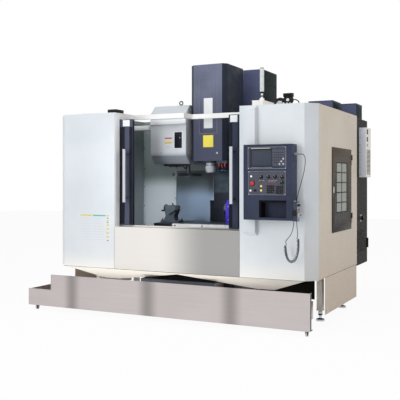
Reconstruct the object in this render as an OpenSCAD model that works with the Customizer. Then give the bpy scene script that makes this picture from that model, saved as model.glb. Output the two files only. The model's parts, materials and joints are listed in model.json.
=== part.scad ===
// Vertical machining centre with sliding doors, rotary table, tailstock and coolant tank.
// X runs to the right, Y to the rear and Z up. Inside the modules X is 0 on the spindle's plane,
// Y is 0 on the front panels and Z is 0 on the floor. Sizes are in millimetres.

/* [Enclosure] */
// Width of the sheet enclosure
enc_w = 3114; // [2980:2:3300]
// Bevel at the two front corners
corner_cut = 107; // [60:1:130]
// Lower edge of the enclosure panels
panel_low = 504; // [496:1:520]
// Upper edge of the enclosure panels
panel_top = 2253; // [2245:1:2350]
// Depth from the front panels to the rear edge of the side panels
side_d = 1650; // [1640:1:1656]
// Thickness of the folded sheet
sheet_t = 3; // [2:0.5:4]
// Clear width of the door opening
opening_w = 1520; // [1440:2:1560]
// Depth of the folded return beside the doors
return_d = 106; // [95:1:110]
// Height of the stainless sill above the floor
sill_top = 978; // [950:1:985]
// Height of the stepped top beam
beam_h = 55; // [45:1:60]
// Depth at which the left half of the beam crosses
beam_left_y = 414; // [380:1:440]
// Depth at which the right half of the beam crosses
beam_right_y = 611; // [560:1:640]
// Place across of the step in the beam
beam_step_x = -100; // [-160:1:-60]
// Width of the roof left open on the left, as depth of the front roof strip
roof_strip_d = 230; // [215:1:260]

/* [Doors] */
// Half of the gap between the open doors
door_lead = 590; // [560:1:620]
// Width of one door
door_w = 825; // [800:1:830]
// Thickness of one door
door_t = 40; // [36:1:42]
// Distance of the door's upper edge below the panels' upper edge
door_drop = 73; // [70:1:90]
// Width of the door's upright frame members
stile_w = 105; // [90:1:130]
// Height of the door's cross frame members
cross_h = 130; // [100:1:160]
// Thickness of the window sheet
glass_t = 8; // [6:0.5:10]
// Place across of the open handle's middle
handle_x = 652; // [635:1:680]
// Lower end of the handle bar
handle_low = 1250; // [1150:1:1300]
// Length of the handle bar
handle_len = 590; // [400:1:640]
// Width of the handle bar
handle_w = 38; // [30:1:44]

/* [Bed, saddle and table] */
// Width of the bed
bed_w = 1120; // [1060:2:1160]
// Upper face of the bed
bed_top = 520; // [510:1:530]
// Height of the gap between the floor and the bed
foot_h = 110; // [90:1:120]
// Height of the guide rails
rail_h = 30; // [26:1:32]
// Width of the guide rails
rail_w = 45; // [40:1:50]
// Height of the space that the carriages fill
carriage_h = 70; // [66:1:74]
// Thickness of the saddle
saddle_t = 200; // [190:1:210]
// Length of the saddle across the machine
saddle_w = 1800; // [1740:2:1860]
// Length of the table
table_w = 1200; // [1160:2:1240]
// Width of the table
table_d = 600; // [580:2:600]
// Thickness of the table
table_t = 130; // [110:1:140]
// Width of a table slot's neck
slot_w = 18; // [14:1:22]
// Number of table slots
slot_count = 5; // [3:1:5]
// Distance between table slots
slot_pitch = 100; // [90:1:110]
// Table travel to each side
travel_x = 550; // [400:10:560]
// Saddle travel to the front and to the rear
travel_y = 300; // [250:10:300]

/* [Table strip, tailstock and rotary table] */
// Length of the bright strip on the table's front edge
strip_len = 900; // [700:10:940]
// Thickness of the bright strip
strip_t = 12; // [8:1:14]
// Centre height above the table
centre_h = 169; // [160:1:172]
// Distance of the tailstock and rotary axis from the table's front edge
centre_y = 200; // [180:1:230]
// Radius of the tailstock quill
quill_r = 20; // [16:1:24]
// Travel of the tailstock quill
quill_travel = 40; // [20:1:45]
// Left face of the rotary table's body
rotary_x = 296; // [290:1:320]
// Length of the rotary table's body along its axis
rotary_len = 240; // [200:1:260]
// Height of the rotary table's body
rotary_h = 281; // [270:1:290]
// Radius of the rotary faceplate
face_r = 75; // [60:1:78]
// Radius of the faceplate's centre bore
face_bore_r = 16; // [10:1:22]

/* [Column and head] */
// Width of the column
col_w = 660; // [620:2:680]
// Depth of the column
col_d = 297; // [280:1:320]
// Upper face of the column
col_top = 2300; // [2290:1:2320]
// Width of the column hood
hood_w = 880; // [820:2:900]
// Front of the column hood
hood_y = 1450; // [1430:1:1470]
// Height of the column hood
hood_h = 660; // [600:1:700]
// Depth of the spindle axis from the front panels
spindle_y = 900; // [895:1:910]
// Lower end of the spindle nose
nose_low = 1586; // [1584:1:1600]
// Length of the spindle nose below the head cover
nose_len = 135; // [125:1:145]
// Radius of the spindle nose
nose_r = 48; // [44:1:52]
// Radius of the spindle shaft
spindle_r = 60; // [58:1:61]
// Head travel downwards
head_down = 476; // [400:1:476]
// Head travel upwards
head_up = 124; // [60:1:124]
// Width of the head casting
head_w = 400; // [380:2:410]
// Height of the head casting
head_h = 336; // [320:1:336]
// Sideways offset of the head cover
cover_x = 20; // [0:1:25]
// Width of the head cover
cover_w = 466; // [450:2:470]
// Front of the head cover
cover_y = 780; // [760:1:785]
// Depth of the head cover
cover_d = 510; // [490:1:520]
// Height of the head cover
cover_h = 1128; // [1050:1:1160]
// Bevel of the head cover's upright edges
cover_cut = 48; // [30:1:60]
// Width of the telescopic cover plates
plate_w = 496; // [480:2:498]

/* [Tool changer] */
// Right face of the magazine cover
mag_right = -250; // [-256:1:-246]
// Width of the magazine cover
mag_w = 480; // [470:1:500]
// Front of the magazine cover
mag_y = 750; // [740:1:760]
// Depth of the magazine cover
mag_d = 540; // [530:1:560]
// Lower edge of the magazine cover
mag_low = 1690; // [1685:1:1694]
// Height of the magazine cover
mag_h = 702; // [690:1:720]
// Bevel of the magazine cover
mag_cut = 99; // [80:1:110]
// Number of tool pots
pot_count = 24; // [16:1:24]
// Radius of the circle of pots
pot_ring_r = 215; // [200:1:220]
// Distance of the changer axis from the magazine cover's right face
pivot_in = 50; // [46:1:56]
// Stroke of the changer arm
arm_drop = 115; // [60:1:120]
// Thickness of the changer arm
arm_t = 35; // [28:1:38]
// Half length of the changer arm between its axis and a gripper
arm_reach = 300; // [280:1:300]

/* [Console] */
// Left face of the console pillar
pillar_x = 824; // [800:1:840]
// Width of the console pillar
pillar_w = 131; // [110:1:150]
// Depth of the console pillar
pillar_d = 70; // [50:1:75]
// Left face of the control box
box_x = 876; // [872:1:900]
// Width of the control box
box_w = 508; // [500:1:530]
// Lower face of the control box
box_low = 1103; // [1100:1:1120]
// Height of the control box
box_h = 742; // [735:1:760]
// Depth of the control box in front of the pillar
box_d = 100; // [95:1:110]
// Radius of the emergency stop's head
estop_r = 20; // [16:1:22]
// Travel of the emergency stop
estop_travel = 6; // [4:0.5:7]
// Radius of the turning knobs
knob_r = 16; // [12:1:18]
// Radius of the pendant's dial
dial_r = 28; // [22:1:32]

/* [Cabinet and side door] */
// Gap between the bed and the cabinet
cab_gap = 10; // [5:1:30]
// Width of the electrical cabinet
cab_w = 960; // [930:1:980]
// Depth of the electrical cabinet without its door
cab_d = 612; // [560:1:640]
// Lower face of the electrical cabinet
cab_low = 470; // [460:1:480]
// Height of the electrical cabinet
cab_h = 1770; // [1700:1:1780]
// Thickness of the cabinet door
cab_door_t = 25; // [20:1:30]
// Width of the side door
side_door_w = 778; // [740:1:800]
// Height of the side door
side_door_h = 901; // [860:1:940]
// Front edge of the side door
side_door_y = 587; // [560:1:600]
// Lower edge of the side door
side_door_low = 941; // [900:1:960]
// Radius of the hinge pins
pin_r = 5; // [4:0.5:6]
// Radius of the hinge barrels
barrel_r = 9; // [8:0.5:10]

/* [Coolant tank] */
// Left end of the tank's front plate
tank_left = -1810; // [-1840:1:-1780]
// Right end of the tank's front plate
tank_right = 1570; // [1540:1:1600]
// Distance of the tank's front plate before the front panels
tank_out = 200; // [198:1:215]
// Lower edge of the tank
tank_low = 58; // [54:1:66]
// Upper edge of the tank's front plate
tank_top = 420; // [400:1:430]
// Upper edge of the tank's low left end
tank_end_top = 245; // [230:1:260]
// Way that the tank rolls out
tank_travel = 600; // [400:10:700]

/* [Fits] */
// Gap between moving pieces that pass each other
run_gap = 0.3; // [0.3:0.05:0.5]
// Radial gap of shafts in their bores
shaft_gap = 0.05; // [0.02:0.01:0.08]

/* [Hidden] */
$fn = 64;

// Paints and metals
white_paint = [0.86, 0.88, 0.89];
beige_paint = [0.78, 0.72, 0.65];
blue_paint = [0.17, 0.18, 0.26];
grey_paint = [0.55, 0.60, 0.64];
steel = [0.75, 0.74, 0.73];
iron = [0.30, 0.33, 0.36];
black = [0.08, 0.08, 0.09];
violet = [0.22, 0.18, 0.60];

// Enclosure places
half_w = enc_w / 2;
open_half = opening_w / 2;
side_lip = 25;
side_start = corner_cut + side_lip;
panel_line = [
    [-open_half, return_d], [-open_half, 0], [-half_w + corner_cut, 0], [-half_w, corner_cut],
    [-half_w, side_start]
];
side_in = half_w - sheet_t;
flange_w = 217;
skirt_y = 348;
roof_low = panel_top - sheet_t;

// Door places
door_step = 4;
door_y = return_d + door_step;
door_top = panel_top - door_drop;
door_trail = door_lead + door_w;
track_y = door_y + door_t / 2;
track_w = 6;
track_h = 12;
track_half = door_trail + 15;
sill_d = door_y + door_t + 10;
door_low = sill_top + track_h - 5;
door_pin_r = 6;
door_pin_in = 20;
door_pin_h = 20;
guide_z = door_top + 10;
window_lap = 12;
glass_back = 2;
handle_d = 20;
handle_y = door_y - 90;
handle_foot_r = 10;
handle_foot_in = 50;

// Bed, saddle and table heights
saddle_low = bed_top + carriage_h;
saddle_top = saddle_low + saddle_t;
table_low = saddle_top + carriage_h;
table_top = table_low + table_t;
saddle_d = 520;
saddle_y = spindle_y - saddle_d / 2;
table_y = spindle_y - table_d / 2;
grip = rail_h / 2;
carriage_w = 100;
carriage_len = 100;
y_rail_x = 350;
x_rail_y = 200;
x_carriage_x = 285;
bed_y = 330;
bed_low_y = 480;
bed_step_z = 320;
screw_r = 20;
x_screw_r = 16;
block_w = 100;
block_t = 50;
y_screw_z = bed_top + 32;
x_screw_z = saddle_top + 26;
y_block_back = spindle_y + saddle_d / 2 + travel_y + 80;
y_rail_y = bed_y + 5;
y_rail_end = y_block_back - 40;

// Rear wall, column and head places
cover_gap = 4;
plate_t = 3;
plate_y = spindle_y + table_d / 2 + travel_y + cover_gap;
plate_mid_y = plate_y + plate_t + run_gap;
plate_back_y = plate_mid_y + plate_t + run_gap;
wall_y = plate_y + 26;
wall_half = 1300;
wall_front = sill_d + 10;
wall_top = panel_top + 23;
floor_z = bed_top - 20;
floor_rise = 100;
col_y = wall_y + 130;
slide_y = col_y - 60;
slide_t = 80;
slide_half = 240;
z_rail_x = 200;
z_screw_y = col_y - 35;
head_low = nose_low + nose_len + sheet_t;
head_top = head_low + head_h;
slide_low = nose_low + 14;
z_block_low = slide_low - head_down - 84;
z_block_top = head_top + head_up + 46;
head_front = spindle_y - 100;
head_cut = cover_cut - 8;
cover_low = nose_low + nose_len;
plate_front_low = nose_low - 248;
plate_mid_low = nose_low - 446;
plate_mid_top = head_low - head_down / 2 - 6;
plate_back_top = head_low - head_down - 8;
hood_low = head_top + head_up + 16;
hood_back = col_y + col_d + sheet_t;

// Tool changer places
pivot_x = mag_right - pivot_in;
mag_left = mag_right - mag_w;
mag_top = mag_low + mag_h;
disc_y = mag_y + mag_d / 2 + 2;
disc_z = mag_low + mag_h / 2;
frame_x = mag_right - sheet_t;
frame_t = 70;
sleeve_r = 28;
arm_shaft_r = 18;
arm_top = nose_low - 6;
axle_r = 30;
gearbox_low = mag_low + 10;
gearbox_h = 200;

// Console places
box_front = -pillar_d - box_d;
box_right = box_x + box_w;
panel_out = 2;
panel_front = box_front - panel_out;
panel_recess = 8;
pendant_t = 46;
pendant_y = [-165, -90];
pendant_z = [1098, 1287];
plug_z = 1747;
cord_y = -110;
cord_r = 3.25;
coil_r = 14.5;

// Cabinet and side door places
cab_x = bed_w / 2 + cab_gap;
cab_right = cab_x + cab_w;
cab_back = side_d + cab_d;
cab_handle_out = 13;
back_end = cab_back + run_gap + cab_door_t + cab_handle_out;
cooler_t = 90;
right_end = cab_right + cooler_t;
side_door_t = 8;
side_lap = 10;
pane_in = 4;

// The origin lies under the middle of the whole machine
mid_x = (tank_left + right_end) / 2;
mid_y = (back_end - tank_out) / 2;

// Routes of the pendant's cord, as chosen points
cord_upper_route = [
    [1450, -110, 1747], [1476, -110, 1740], [1491, -110, 1714], [1494, -109, 1680],
    [1488, -106, 1620], [1472, -101, 1545], [1451, -95, 1480], [1431, -89, 1419],
    [1411, -82, 1350], [1400, -78, 1300], [1394, -76, 1240], [1393, -76, 1180],
    [1395, -79, 1120], [1402, -88, 1060], [1412, -99, 1000], [1419, -108, 945]
];
cord_coil_route = [
    [1419, -108, 945], [1424, -110, 890], [1422, -110, 830], [1411, -110, 770],
    [1388, -110, 722], [1354, -110, 702], [1322, -110, 722], [1302, -110, 770],
    [1293, -110, 825], [1291, -110, 876]
];
cord_lower_route = [
    [1291, -110, 876], [1299, -112, 900], [1320, -118, 925], [1350, -125, 960],
    [1374, -132, 1010], [1386, -138, 1060], [1390, -140, 1098]
];

// Helpers
function unit(v) = v / norm(v);
function left_of(v) = [-v[1], v[0]];
function edge_normal(p, i) = left_of(unit(p[i + 1] - p[i]));
function mitre(p, i) = let (
    a = edge_normal(p, max(i - 1, 0)),
    b = edge_normal(p, min(i, len(p) - 2))
) (a + b) / (1 + a * b);
function offset_line(p, t) = [for (i = [0:len(p) - 1]) p[i] + t * mitre(p, i)];
function reversed(p) = [for (i = [len(p) - 1:-1:0]) p[i]];

// A folded sheet's section: the line and the same line moved sideways by the thickness
module fold(p, t) polygon(concat(p, reversed(offset_line(p, t))));
module box(a, b) translate(a) cube(b - a);
module rod_x(p, h, r) translate(p) rotate([0, 90, 0]) cylinder(h = h, r = r);
module rod_y(p, h, r) translate(p) rotate([-90, 0, 0]) cylinder(h = h, r = r);
module rod_z(p, h, r) translate(p) cylinder(h = h, r = r);
// Sections drawn in Y and Z, extruded along X
module along_x(x, h) translate([x, 0, 0]) rotate([90, 0, 90]) linear_extrude(h) children();
// Sections drawn in X and Z, extruded along Y
module along_y(y, h) translate([0, y + h, 0]) rotate([90, 0, 0]) linear_extrude(h) children();
module both_sides() {
    children();
    mirror([1, 0, 0]) children();
}

// A smooth line through chosen points, and a tube along it
function smooth_point(p, i, t) = let (
    n = len(p) - 1,
    a = p[max(i - 1, 0)],
    b = p[i],
    c = p[min(i + 1, n)],
    d = p[min(i + 2, n)]
) 0.5 * (2 * b + (c - a) * t + (2 * a - 5 * b + 4 * c - d) * t * t + (3 * b - a - 3 * c + d) * t * t * t);
function smooth_line(p, parts) = concat(
    [for (i = [0:len(p) - 2], k = [0:parts - 1]) smooth_point(p, i, k / parts)],
    [p[len(p) - 1]]
);
function tangent(p, i) = unit(p[min(i + 1, len(p) - 1)] - p[max(i - 1, 0)]);
function ring(p, i, r, sides) = let (
    t = tangent(p, i),
    u = unit(cross(t, [0, 1, 0])),
    v = cross(u, t)
) [for (k = [0:sides - 1]) p[i] + r * (cos(360 * k / sides) * u + sin(360 * k / sides) * v)];
module tube(p, r, sides) {
    n = len(p);
    points = [for (i = [0:n - 1]) each ring(p, i, r, sides)];
    walls = [for (i = [0:n - 2], k = [0:sides - 1]) let (
        a = i * sides + k,
        b = i * sides + (k + 1) % sides
    ) each [[a, a + sides, b], [b, a + sides, b + sides]]];
    ends = [
        [for (k = [0:sides - 1]) k],
        [for (k = [sides - 1:-1:0]) (n - 1) * sides + k]
    ];
    polyhedron(points, concat(walls, ends));
}

// Carriages that grip a rail: the block, with a groove a running gap wider than the rail
module carriage_z(p, along) difference() {
    translate(p - [along ? carriage_len / 2 : carriage_w / 2, along ? carriage_w / 2 : carriage_len / 2, 0])
        cube([along ? carriage_len : carriage_w, along ? carriage_w : carriage_len, carriage_h - grip]);
    groove = rail_w + 2 * run_gap;
    translate(p - [along ? carriage_len : groove / 2, along ? groove / 2 : carriage_len, 1])
        cube([along ? 2 * carriage_len : groove, along ? groove : 2 * carriage_len, grip + run_gap + 1]);
}

// Servo motor: flange, body and plug, along Z from its flange
module motor(w, h) {
    translate([-w / 2, -w / 2, 0]) cube([w, w, 14]);
    translate([0, 0, 14]) cylinder(h = h - 14, r = w * 0.46);
    translate([-w / 6, w * 0.3, h * 0.6]) cube([w / 3, w / 4, h * 0.25]);
}

// Bed: long casting with ribs open to the floor, Y rails and screw bearings on it
module bed() color(iron) difference() {
    union() {
        box([-bed_w / 2, bed_y, bed_step_z], [bed_w / 2, col_y + col_d, bed_top]);
        box([-bed_w / 2 + 10, bed_low_y, foot_h], [bed_w / 2 - 10, col_y + col_d, bed_step_z]);
        for (x = [-y_rail_x, y_rail_x])
            box([x - rail_w / 2, y_rail_y, bed_top], [x + rail_w / 2, y_rail_end, bed_top + rail_h]);
        for (y = [bed_y, y_block_back])
            box([-block_w / 2, y, bed_top], [block_w / 2, y + block_t, y_screw_z + 34]);
    }
    rod_y([0, bed_y - 1, y_screw_z], y_block_back + block_t - bed_y + 2, screw_r + shaft_gap);
    for (x = [-bed_w / 2 + 70, -bed_w / 2 + 410, bed_w / 2 - 370], y = [0:3])
        box([x, bed_low_y + 60 + 355 * y, foot_h - 1], [x + 300, bed_low_y + 370 + 355 * y, bed_top - 60]);
}

// Levelling feet under the bed and under the leg posts
module levelling_feet() color(iron) {
    for (x = [-bed_w / 2 + 40, bed_w / 2 - 40], y = bed_feet_y)
        foot([x, y]);
    for (x = [-post_x, post_x], y = post_y)
        foot([x, y]);
}
bed_feet_y = [bed_low_y + 30, bed_low_y + 530, bed_low_y + 1030, col_y + col_d - 40];
post_x = half_w - 146;
post_w = 62;
post_y = [skirt_y + 312, side_d - 120];
module foot(p) {
    rod_z([p[0], p[1], 0], 18, 45);
    rod_z([p[0], p[1], 18], foot_h - 18, 14);
    translate([p[0], p[1], foot_h - 30]) cylinder(h = 20, r = 26, $fn = 6);
}

// Column: hollow casting with Z rails and screw bearings on its front
module column() color(iron) difference() {
    union() {
        box([-col_w / 2, col_y, bed_top], [col_w / 2, col_y + col_d, col_top]);
        for (z = [z_block_low, z_block_top])
            box([-block_w / 2, slide_y - 10, z],
                [block_w / 2, col_y, z == z_block_top ? col_top : z + block_t]);
        for (x = [-z_rail_x, z_rail_x])
            box([x - rail_w / 2, col_y - rail_h, z_block_low + 60], [x + rail_w / 2, col_y, z_block_top - 5]);
    }
    box([-col_w / 2 + 60, col_y + 60, bed_top + 80], [col_w / 2 - 60, col_y + col_d + 1, col_top - 120]);
    rod_z([0, z_screw_y, z_block_low - 1], col_top - z_block_low + 2, screw_r + shaft_gap);
}

// Hood over the column's top, open below
module column_hood() color(blue_paint) difference() {
    box([-hood_w / 2, hood_y, hood_low], [hood_w / 2, hood_back, hood_low + hood_h]);
    box([-hood_w / 2 + sheet_t, hood_y + sheet_t, hood_low - 1],
        [hood_w / 2 - sheet_t, hood_back - sheet_t, hood_low + hood_h - sheet_t]);
}

// Front panel of the left side: folded sheet and the slotted guide for the door's upper pin
module front_panel() {
    translate([0, 0, panel_low]) linear_extrude(panel_top - panel_low) fold(panel_line, -sheet_t);
    difference() {
        box([-track_half, sheet_t, guide_z], [-open_half - 20, track_y + 15, guide_z + sheet_t]);
        box([-track_half + 5, track_y - door_pin_r - 0.5, guide_z - 1],
            [-open_half - 25, track_y + door_pin_r + 0.5, guide_z + sheet_t + 1]);
    }
}
module left_front_panel() color(white_paint) front_panel();
module right_front_panel() color(white_paint) {
    mirror([1, 0, 0]) front_panel();
    pillar();
}

// Raised pillar that carries the console, with sloping ends
pillar_low = 932;
pillar_slope = 40;
pillar_line = [
    [0, pillar_low], [-pillar_d, pillar_low + pillar_slope], [-pillar_d, panel_top - pillar_slope],
    [0, panel_top - 3]
];
module pillar() {
    along_x(pillar_x, pillar_w) fold(pillar_line, -sheet_t);
    for (x = [pillar_x, pillar_x + pillar_w - sheet_t])
        along_x(x, sheet_t) polygon(pillar_line);
}

// Stainless sill: front, top flange and the track that both doors ride on
module door_sill() color(steel) {
    box([-open_half, 0, panel_low], [open_half, sheet_t, sill_top]);
    box([-open_half, 0, sill_top - sheet_t], [open_half, sill_d, sill_top]);
    box([-track_half, return_d + 2, sill_top - sheet_t], [track_half, sill_d, sill_top]);
    box([-track_half, track_y - track_w / 2, sill_top],
        [track_half, track_y + track_w / 2, sill_top + track_h]);
}

// Stepped beam over the opening: upright web with a lower flange
beam_line = [
    [-open_half, return_d], [-open_half, beam_left_y], [beam_step_x, beam_left_y],
    [beam_step_x, beam_right_y], [open_half + sheet_t, beam_right_y]
];
beam_flange = 30;
module top_beam() color(white_paint) {
    beam_low = panel_top + 2 - beam_h;
    translate([0, 0, beam_low]) linear_extrude(beam_h) fold(beam_line, sheet_t);
    translate([0, 0, beam_low]) linear_extrude(sheet_t) fold(beam_line, beam_flange);
}

// Side panel of the left side: wall, roof with the given inner edge, and lower flange
roof_front = offset_line(panel_line, -sheet_t);
module side_panel(inner_edge) {
    box([-half_w, side_start, panel_low], [-side_in, side_d, panel_top]);
    translate([0, 0, roof_low]) linear_extrude(sheet_t)
        polygon(concat([roof_front[1], roof_front[2], roof_front[3], [-side_in, side_d]], inner_edge));
    box([-half_w, side_start, panel_low], [-half_w + flange_w, side_d, panel_low + sheet_t]);
}
module left_side_panel() color(beige_paint) difference() {
    union() {
        side_panel([
            [-wall_half - sheet_t, side_d], [-wall_half - sheet_t, roof_strip_d],
            [-open_half - sheet_t, roof_strip_d]
        ]);
        box([-open_half - 120, 50, roof_low], [-open_half - 10, 200, panel_top + 37]);
        box([-half_w, side_d - sheet_t, panel_low], [-wall_half - sheet_t, side_d, panel_top]);
    }
    box([-wall_half - sheet_t - run_gap, wall_front - run_gap, roof_low - 1],
        [-wall_half + run_gap, roof_strip_d + 1, panel_top + 1]);
}
module right_side_panel() color(beige_paint) {
    difference() {
        mirror([1, 0, 0]) side_panel([[-open_half - sheet_t, side_d]]);
        box([side_in - 1, side_door_y + side_lap, side_door_low + side_lap],
            [half_w + 1, side_door_y + side_door_w - side_lap, side_door_low + side_door_h - side_lap]);
    }
    for (z = side_knuckles)
        knuckle_base(z);
}

// Hinge of the side door: pins on the panel, barrels on the door
side_axis = [half_w + barrel_r + 1, side_door_y + side_door_w + barrel_r];
barrel_h = 60;
side_knuckles = [side_door_low + 120, side_door_low + side_door_h - 120];
module knuckle_base(z) {
    rod_z([side_axis[0], side_axis[1], z - barrel_h], 2 * barrel_h, pin_r);
    rod_z([side_axis[0], side_axis[1], z - barrel_h], barrel_h - run_gap, barrel_r);
    box([half_w - 1, side_axis[1] - 6, z - barrel_h], [side_axis[0], side_axis[1] + 6, z - run_gap]);
}
module side_door() color(black) difference() {
    union() {
        box([half_w + run_gap, side_door_y, side_door_low],
            [half_w + side_door_t, side_door_y + side_door_w, side_door_low + side_door_h]);
        for (z = side_knuckles) {
            rod_z([side_axis[0], side_axis[1], z], barrel_h, barrel_r);
            box([half_w + run_gap, side_axis[1] - barrel_r - 4, z],
                [half_w + side_door_t, side_axis[1], z + barrel_h]);
        }
    }
    for (z = side_knuckles)
        rod_z([side_axis[0], side_axis[1], z - 1], barrel_h + 2, pin_r + shaft_gap);
    box([half_w + side_door_t - pane_in, pane_y, pane_low],
        [half_w + side_door_t + 1, pane_y + pane_w, pane_low + pane_h]);
    box([half_w + side_door_t - pane_in, side_door_y + 21, pane_low + 203],
        [half_w + side_door_t + 1, side_door_y + 93, pane_low + 288]);
}
pane_y = side_door_y + 153;
pane_w = 430;
pane_low = side_door_low + 205;
pane_h = 539;
pane_rows = 5;
bar_w = 12;
// Window of the side door: a pane with bars standing on it
module side_window() color(grey_paint) {
    box([half_w + side_door_t - pane_in, pane_y, pane_low],
        [half_w + side_door_t - pane_in + 2, pane_y + pane_w, pane_low + pane_h]);
    for (i = [1:pane_rows - 1])
        box([half_w + side_door_t - pane_in, pane_y, pane_low + pane_h * i / pane_rows - bar_w / 2],
            [half_w + side_door_t, pane_y + pane_w, pane_low + pane_h * i / pane_rows + bar_w / 2]);
    box([half_w + side_door_t - pane_in, pane_y + pane_w / 2 - bar_w / 2, pane_low],
        [half_w + side_door_t, pane_y + pane_w / 2 + bar_w / 2, pane_low + pane_h]);
}

// Skirts below the side panels, with leg posts
skirt_low = 125;
module base_skirts() color(beige_paint) both_sides() {
    box([half_w - sheet_t, skirt_y, skirt_low], [half_w, side_d - 20, panel_low]);
    box([half_w - flange_w, skirt_y, panel_low - sheet_t], [half_w, side_d - 20, panel_low]);
    for (y = post_y)
        box([post_x - post_w / 2, y - post_w / 2, foot_h], [post_x + post_w / 2, y + post_w / 2, panel_low]);
}

// Slanted under panel with a wide V cut, hung from the front panels
under_y = 30;
under_run = 220;
under_drop = 144;
under_top_half = half_w - corner_cut;
under_low_half = 1050;
cut_half = 850;
cut_apex = 40;
under_len = norm([under_run, under_drop]);
under_angle = atan2(under_drop, under_run);
module under_panel() color(white_paint) {
    translate([0, under_y, panel_low - sheet_t]) rotate([-under_angle, 0, 0]) linear_extrude(sheet_t)
        polygon([
            [-under_top_half, 0], [under_top_half, 0], [under_low_half, under_len], [cut_half, under_len],
            [0, cut_apex], [-cut_half, under_len], [-under_low_half, under_len]
        ]);
    box([-under_top_half, 0, panel_low - sheet_t], [under_top_half, under_y + 2, panel_low]);
}

// Inner splash walls: sloping floors, side walls, rear wall with the opening for the head
module splash_walls() color(grey_paint) {
    splash_side(wall_top);
    mirror([1, 0, 0]) splash_side(roof_low);
    difference() {
        union() {
            box([-wall_half - sheet_t, wall_y, floor_z], [open_half, wall_y + sheet_t, wall_top]);
            box([-wall_half - sheet_t, wall_y, floor_z], [wall_half + sheet_t, wall_y + sheet_t, roof_low]);
        }
        box([-plate_w / 2 - 4, wall_y - 1, slide_low - head_down - 24],
            [plate_w / 2 + 4, wall_y + sheet_t + 1, wall_top + 1]);
        box([frame_x - frame_t - 8, wall_y - 1, frame_low - 10], [0, wall_y + sheet_t + 1, wall_top + 1]);
        box([-hood_w / 2 - 5, wall_y - 1, hood_low - 5],
            [hood_w / 2 + 5, wall_y + sheet_t + 1, wall_top + 1]);
        box([-bed_w / 2, wall_y - 1, floor_z - 1], [bed_w / 2, wall_y + sheet_t + 1, saddle_low + 40]);
    }
    plate_low = saddle_low + 40;
    box([-plate_w / 2 - 52, plate_back_y, plate_low],
        [plate_w / 2 + 52, plate_back_y + plate_t, plate_back_top]);
    both_sides()
        box([plate_w / 2 + 10, plate_back_y, plate_low], [plate_w / 2 + 52, wall_y + 1, plate_back_top]);
}
module splash_side(top) {
    box([-wall_half - sheet_t, wall_front, floor_z + floor_rise], [-wall_half, wall_y + sheet_t, top]);
    along_y(wall_front, wall_y - wall_front + sheet_t) polygon([
        [-wall_half - sheet_t, floor_z + floor_rise], [-bed_w / 2, floor_z], [-bed_w / 2, floor_z + sheet_t],
        [-wall_half - sheet_t, floor_z + floor_rise + sheet_t]
    ]);
}

// Servo motors of the Y and Z axes
y_motor_w = 120;
z_motor_w = 130;
x_motor_w = 86;
module servo_motors() color(black) {
    translate([0, bed_y, y_screw_z]) rotate([90, 0, 0]) motor(y_motor_w, 160);
    translate([0, z_screw_y, col_top]) motor(z_motor_w, 210);
}

// Electrical cabinet: sheet box open at the rear, mounting plate, bracket and top boxes
cab_wall = 4;
bracket_y = [col_y + 40, col_y + col_d - 57];
cab_axis = [cab_right + barrel_r + 1, cab_back + run_gap + barrel_r + 3];
cab_knuckles = [cab_low + 240, cab_low + cab_h - 240];
module cabinet() color(blue_paint) difference() {
    union() {
        difference() {
            box([cab_x, side_d, cab_low], [cab_right, cab_back, cab_low + cab_h]);
            box([cab_x + cab_wall, side_d + cab_wall, cab_low + cab_wall],
                [cab_right - cab_wall, cab_back + 1, cab_low + cab_h - cab_wall]);
        }
        box([cab_x + 60, side_d + 1, cab_low + 80], [cab_right - 60, side_d + 12, cab_low + cab_h - 80]);
        for (i = [0:4], j = [0:1])
            drive([cab_x + 110 + 165 * i, side_d + 10, cab_low + 800 - 460 * j]);
        box([col_w / 2, bracket_y[0], cab_low + 530], [cab_x, bracket_y[1], cab_low + 830]);
        box([cab_x - 60, min(bracket_y[0], side_d + 50), cab_low + 530],
            [cab_x, max(bracket_y[1], side_d + 250), cab_low + 830]);
        top_box([cab_right - 580, side_d + 50, cab_low + cab_h], [300, 370, 220]);
        top_box([cab_right - 216, side_d + 190, cab_low + cab_h], [186, 290, 184]);
        for (z = cab_knuckles) {
            rod_z([cab_axis[0], cab_axis[1], z - barrel_h], 2 * barrel_h, pin_r);
            rod_z([cab_axis[0], cab_axis[1], z - barrel_h], barrel_h - run_gap, barrel_r);
            box([cab_right - 1, cab_back - 30, z - barrel_h], [cab_right + 6, cab_back, z - run_gap]);
            box([cab_right + 1, cab_back - 1, z - barrel_h], [cab_right + 6, cab_axis[1], z - run_gap]);
        }
    }
    rod_x([cab_right - cab_wall - 1, switch_y, switch_z], cab_wall + 2, switch_stem_r + shaft_gap);
}
// Drive on the mounting plate and box on the roof: sheet cases, closed by what carries them
drive_size = [120, 210, 350];
module drive(p) translate(p) difference() {
    cube(drive_size);
    translate([cab_wall, -1, cab_wall]) cube(drive_size - [2 * cab_wall, cab_wall - 1, 2 * cab_wall]);
}
module top_box(p, size) translate(p - [0, 0, 1]) difference() {
    cube(size + [0, 0, 1]);
    translate([sheet_t, sheet_t, 3]) cube(size - [2 * sheet_t, 2 * sheet_t, sheet_t + 2]);
}
switch_y = side_d + 307;
switch_z = 1033;
switch_r = 28;
switch_stem_r = 8;

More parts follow.
